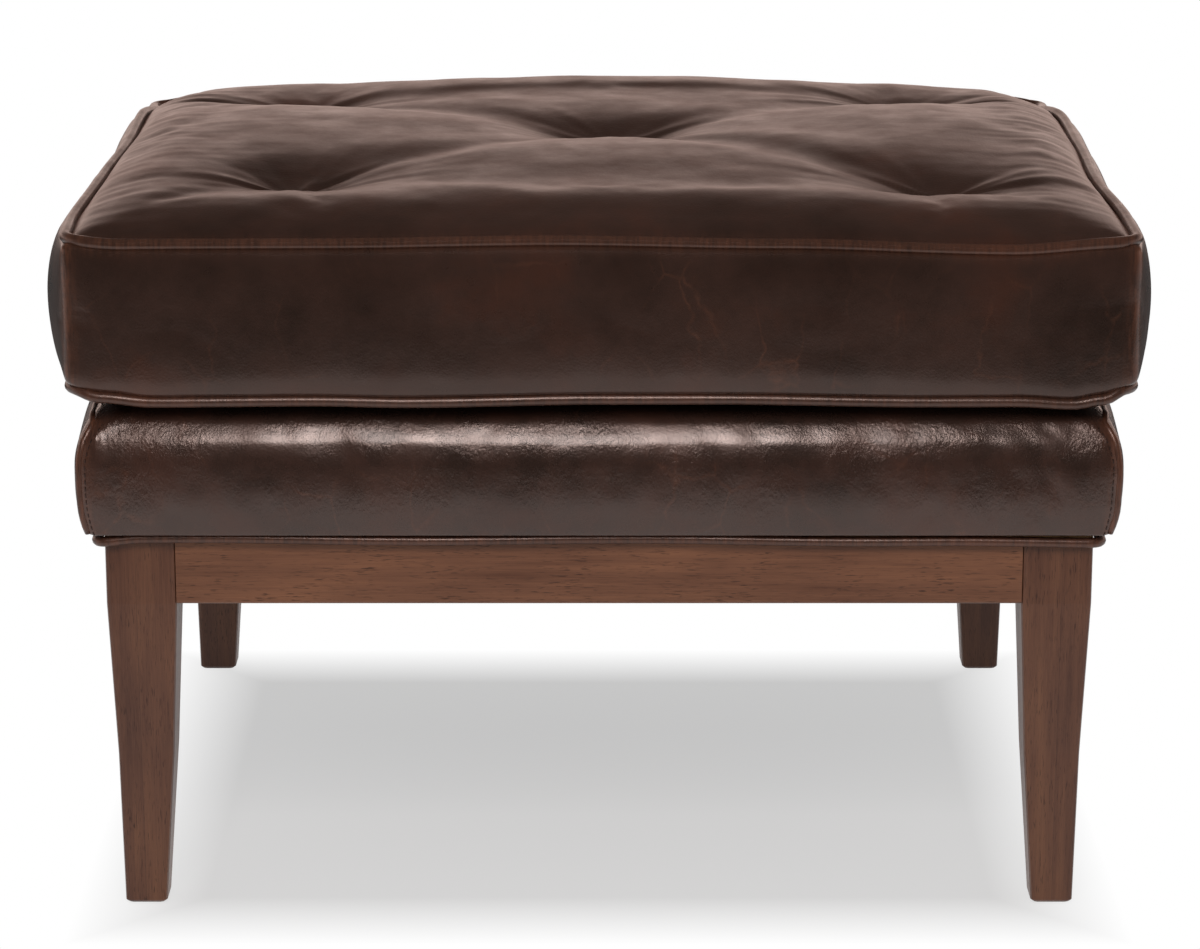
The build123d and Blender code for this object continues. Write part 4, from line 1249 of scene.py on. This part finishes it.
away = mapRange(tree, mathNode(tree, "MAXIMUM", awayX, awayY), *studio["shadowEdge"])
fade = mathNode(tree, "MULTIPLY", away, cameraRay)
seen = addNode(tree, "ShaderNodeMixShader", None, {0: fade, 1: near.outputs[0], 2: white.outputs[0]})
dark = addNode(tree, "ShaderNodeEmission", {"Color": (studio["darkTone"],) * 3 + (1,), "Strength": 1.0})
far = mathNode(tree, "MAXIMUM", mapRange(tree, parts.outputs["Y"], *studio["darkAhead"]),
               mapRange(tree, parts.outputs["Y"], *studio["darkBehind"]))
gloss = mathNode(tree, "MULTIPLY", far, glossRay)
blend = addNode(tree, "ShaderNodeMixShader", None, {0: gloss, 1: seen.outputs[0], 2: dark.outputs[0]})
tree.links.new(blend.outputs[0], output.inputs[0])
floor.data.materials.append(floorPaint)

# the room: even for the light, dark in front and overhead for the gloss, white for the camera
world = bpy.data.worlds.new("studio")
bpy.context.scene.world = world
world.use_nodes = True
tree = world.node_tree
tree.nodes.clear()
direction = addNode(tree, "ShaderNodeTexCoord").outputs["Generated"]
parts = addNode(tree, "ShaderNodeSeparateXYZ", None, {0: direction})
behind = mapRange(tree, parts.outputs["Y"], *studio["skyAhead"])
high = mapRange(tree, parts.outputs["Z"], *studio["skyHigh"])
gloss = mathNode(tree, "MULTIPLY", mathNode(tree, "MULTIPLY", behind, high), studio["skyInGloss"])
rays = addNode(tree, "ShaderNodeLightPath")
glossRay = rays.outputs["Is Glossy Ray"]
colour = mixColour(tree, glossRay, (1, 1, 1, 1), linearColour(studio["glossTint"]))
strength = addNode(tree, "ShaderNodeMix", {"data_type": "FLOAT"})
plug(tree, strength, ((0, glossRay), (2, studio["skyForLight"]), (3, gloss)))
strength = mathNode(tree, "MAXIMUM", strength.outputs[0], rays.outputs["Is Camera Ray"])
background = addNode(tree, "ShaderNodeBackground", None, {"Color": colour, "Strength": strength})
addNode(tree, "ShaderNodeOutputWorld", None, {0: background.outputs[0]})

lamps = [
    # name, place, aim, width, height, radiance, colour, and whether only its gloss counts
    ("overhead light", (0, 0.1, 2.4), (0, 0.0, 0.2), 1.3, 1.1, 1.0, (1, 1, 1), False),
    ("front key", (-0.10, -2.05, 1.68), (-0.05, -0.3, 0.35), 0.95, 0.80, 9.0, (1.0, 0.95, 0.93), False),
    ("front strip", (-0.09, -2.05, 1.68), (-0.05, -0.3, 0.35), 0.66, 0.80, 20.0, (1.0, 0.93, 0.90), True),
    ("front fill", (0.2, -2.7, 2.0), (0, -0.3, 0.25), 1.6, 1.0, 0.5, (1, 1, 1), False),
]
softboxes = {}
for name, place, aim, width, height, radiance, tint, glossOnly in lamps:
    data = bpy.data.lights.new(name, "AREA")
    data.shape = "RECTANGLE"
    data.size = width
    data.size_y = height
    data.energy = radiance * math.pi * width * height
    data.color = tint
    lamp = bpy.data.objects.new(name, data)
    lamp.location = place
    lamp.rotation_euler = (Vector(aim) - Vector(place)).to_track_quat("-Z", "Y").to_euler()
    lamp.visible_camera = False
    lamp.visible_glossy = glossOnly
    lamp.visible_diffuse = not glossOnly
    bpy.context.scene.collection.objects.link(lamp)
    softboxes[name] = lamp
# the strip shines on the deck, its welts and the cushion's bottom welt; on the crown it would glare
stripLit = bpy.data.collections.new("lit by the front strip")
for piece in (deckBody, deckWelt, *endWelts, weltBottom):
    stripLit.objects.link(piece)
softboxes["front strip"].light_linking.receiver_collection = stripLit

photo = {
    "width": 1200,
    "focalPixels": 3954.8,
    "place": (0.0, -2.8816, 1.0010),
    "tilt": 0.258,
    "shift": (0.0008, -0.0052),
}
cameraData = bpy.data.cameras.new("camera")
cameraData.sensor_width = 36.0
cameraData.lens = photo["focalPixels"] / photo["width"] * 36.0
cameraData.shift_x, cameraData.shift_y = photo["shift"]
cameraData.dof.use_dof = False
camera = bpy.data.objects.new("camera", cameraData)
camera.location = photo["place"]
camera.rotation_euler = (math.pi / 2 - photo["tilt"], 0, 0)
bpy.context.scene.collection.objects.link(camera)
bpy.context.scene.camera = camera
bpy.context.scene.view_settings.view_transform = "Standard"
print("studio made")
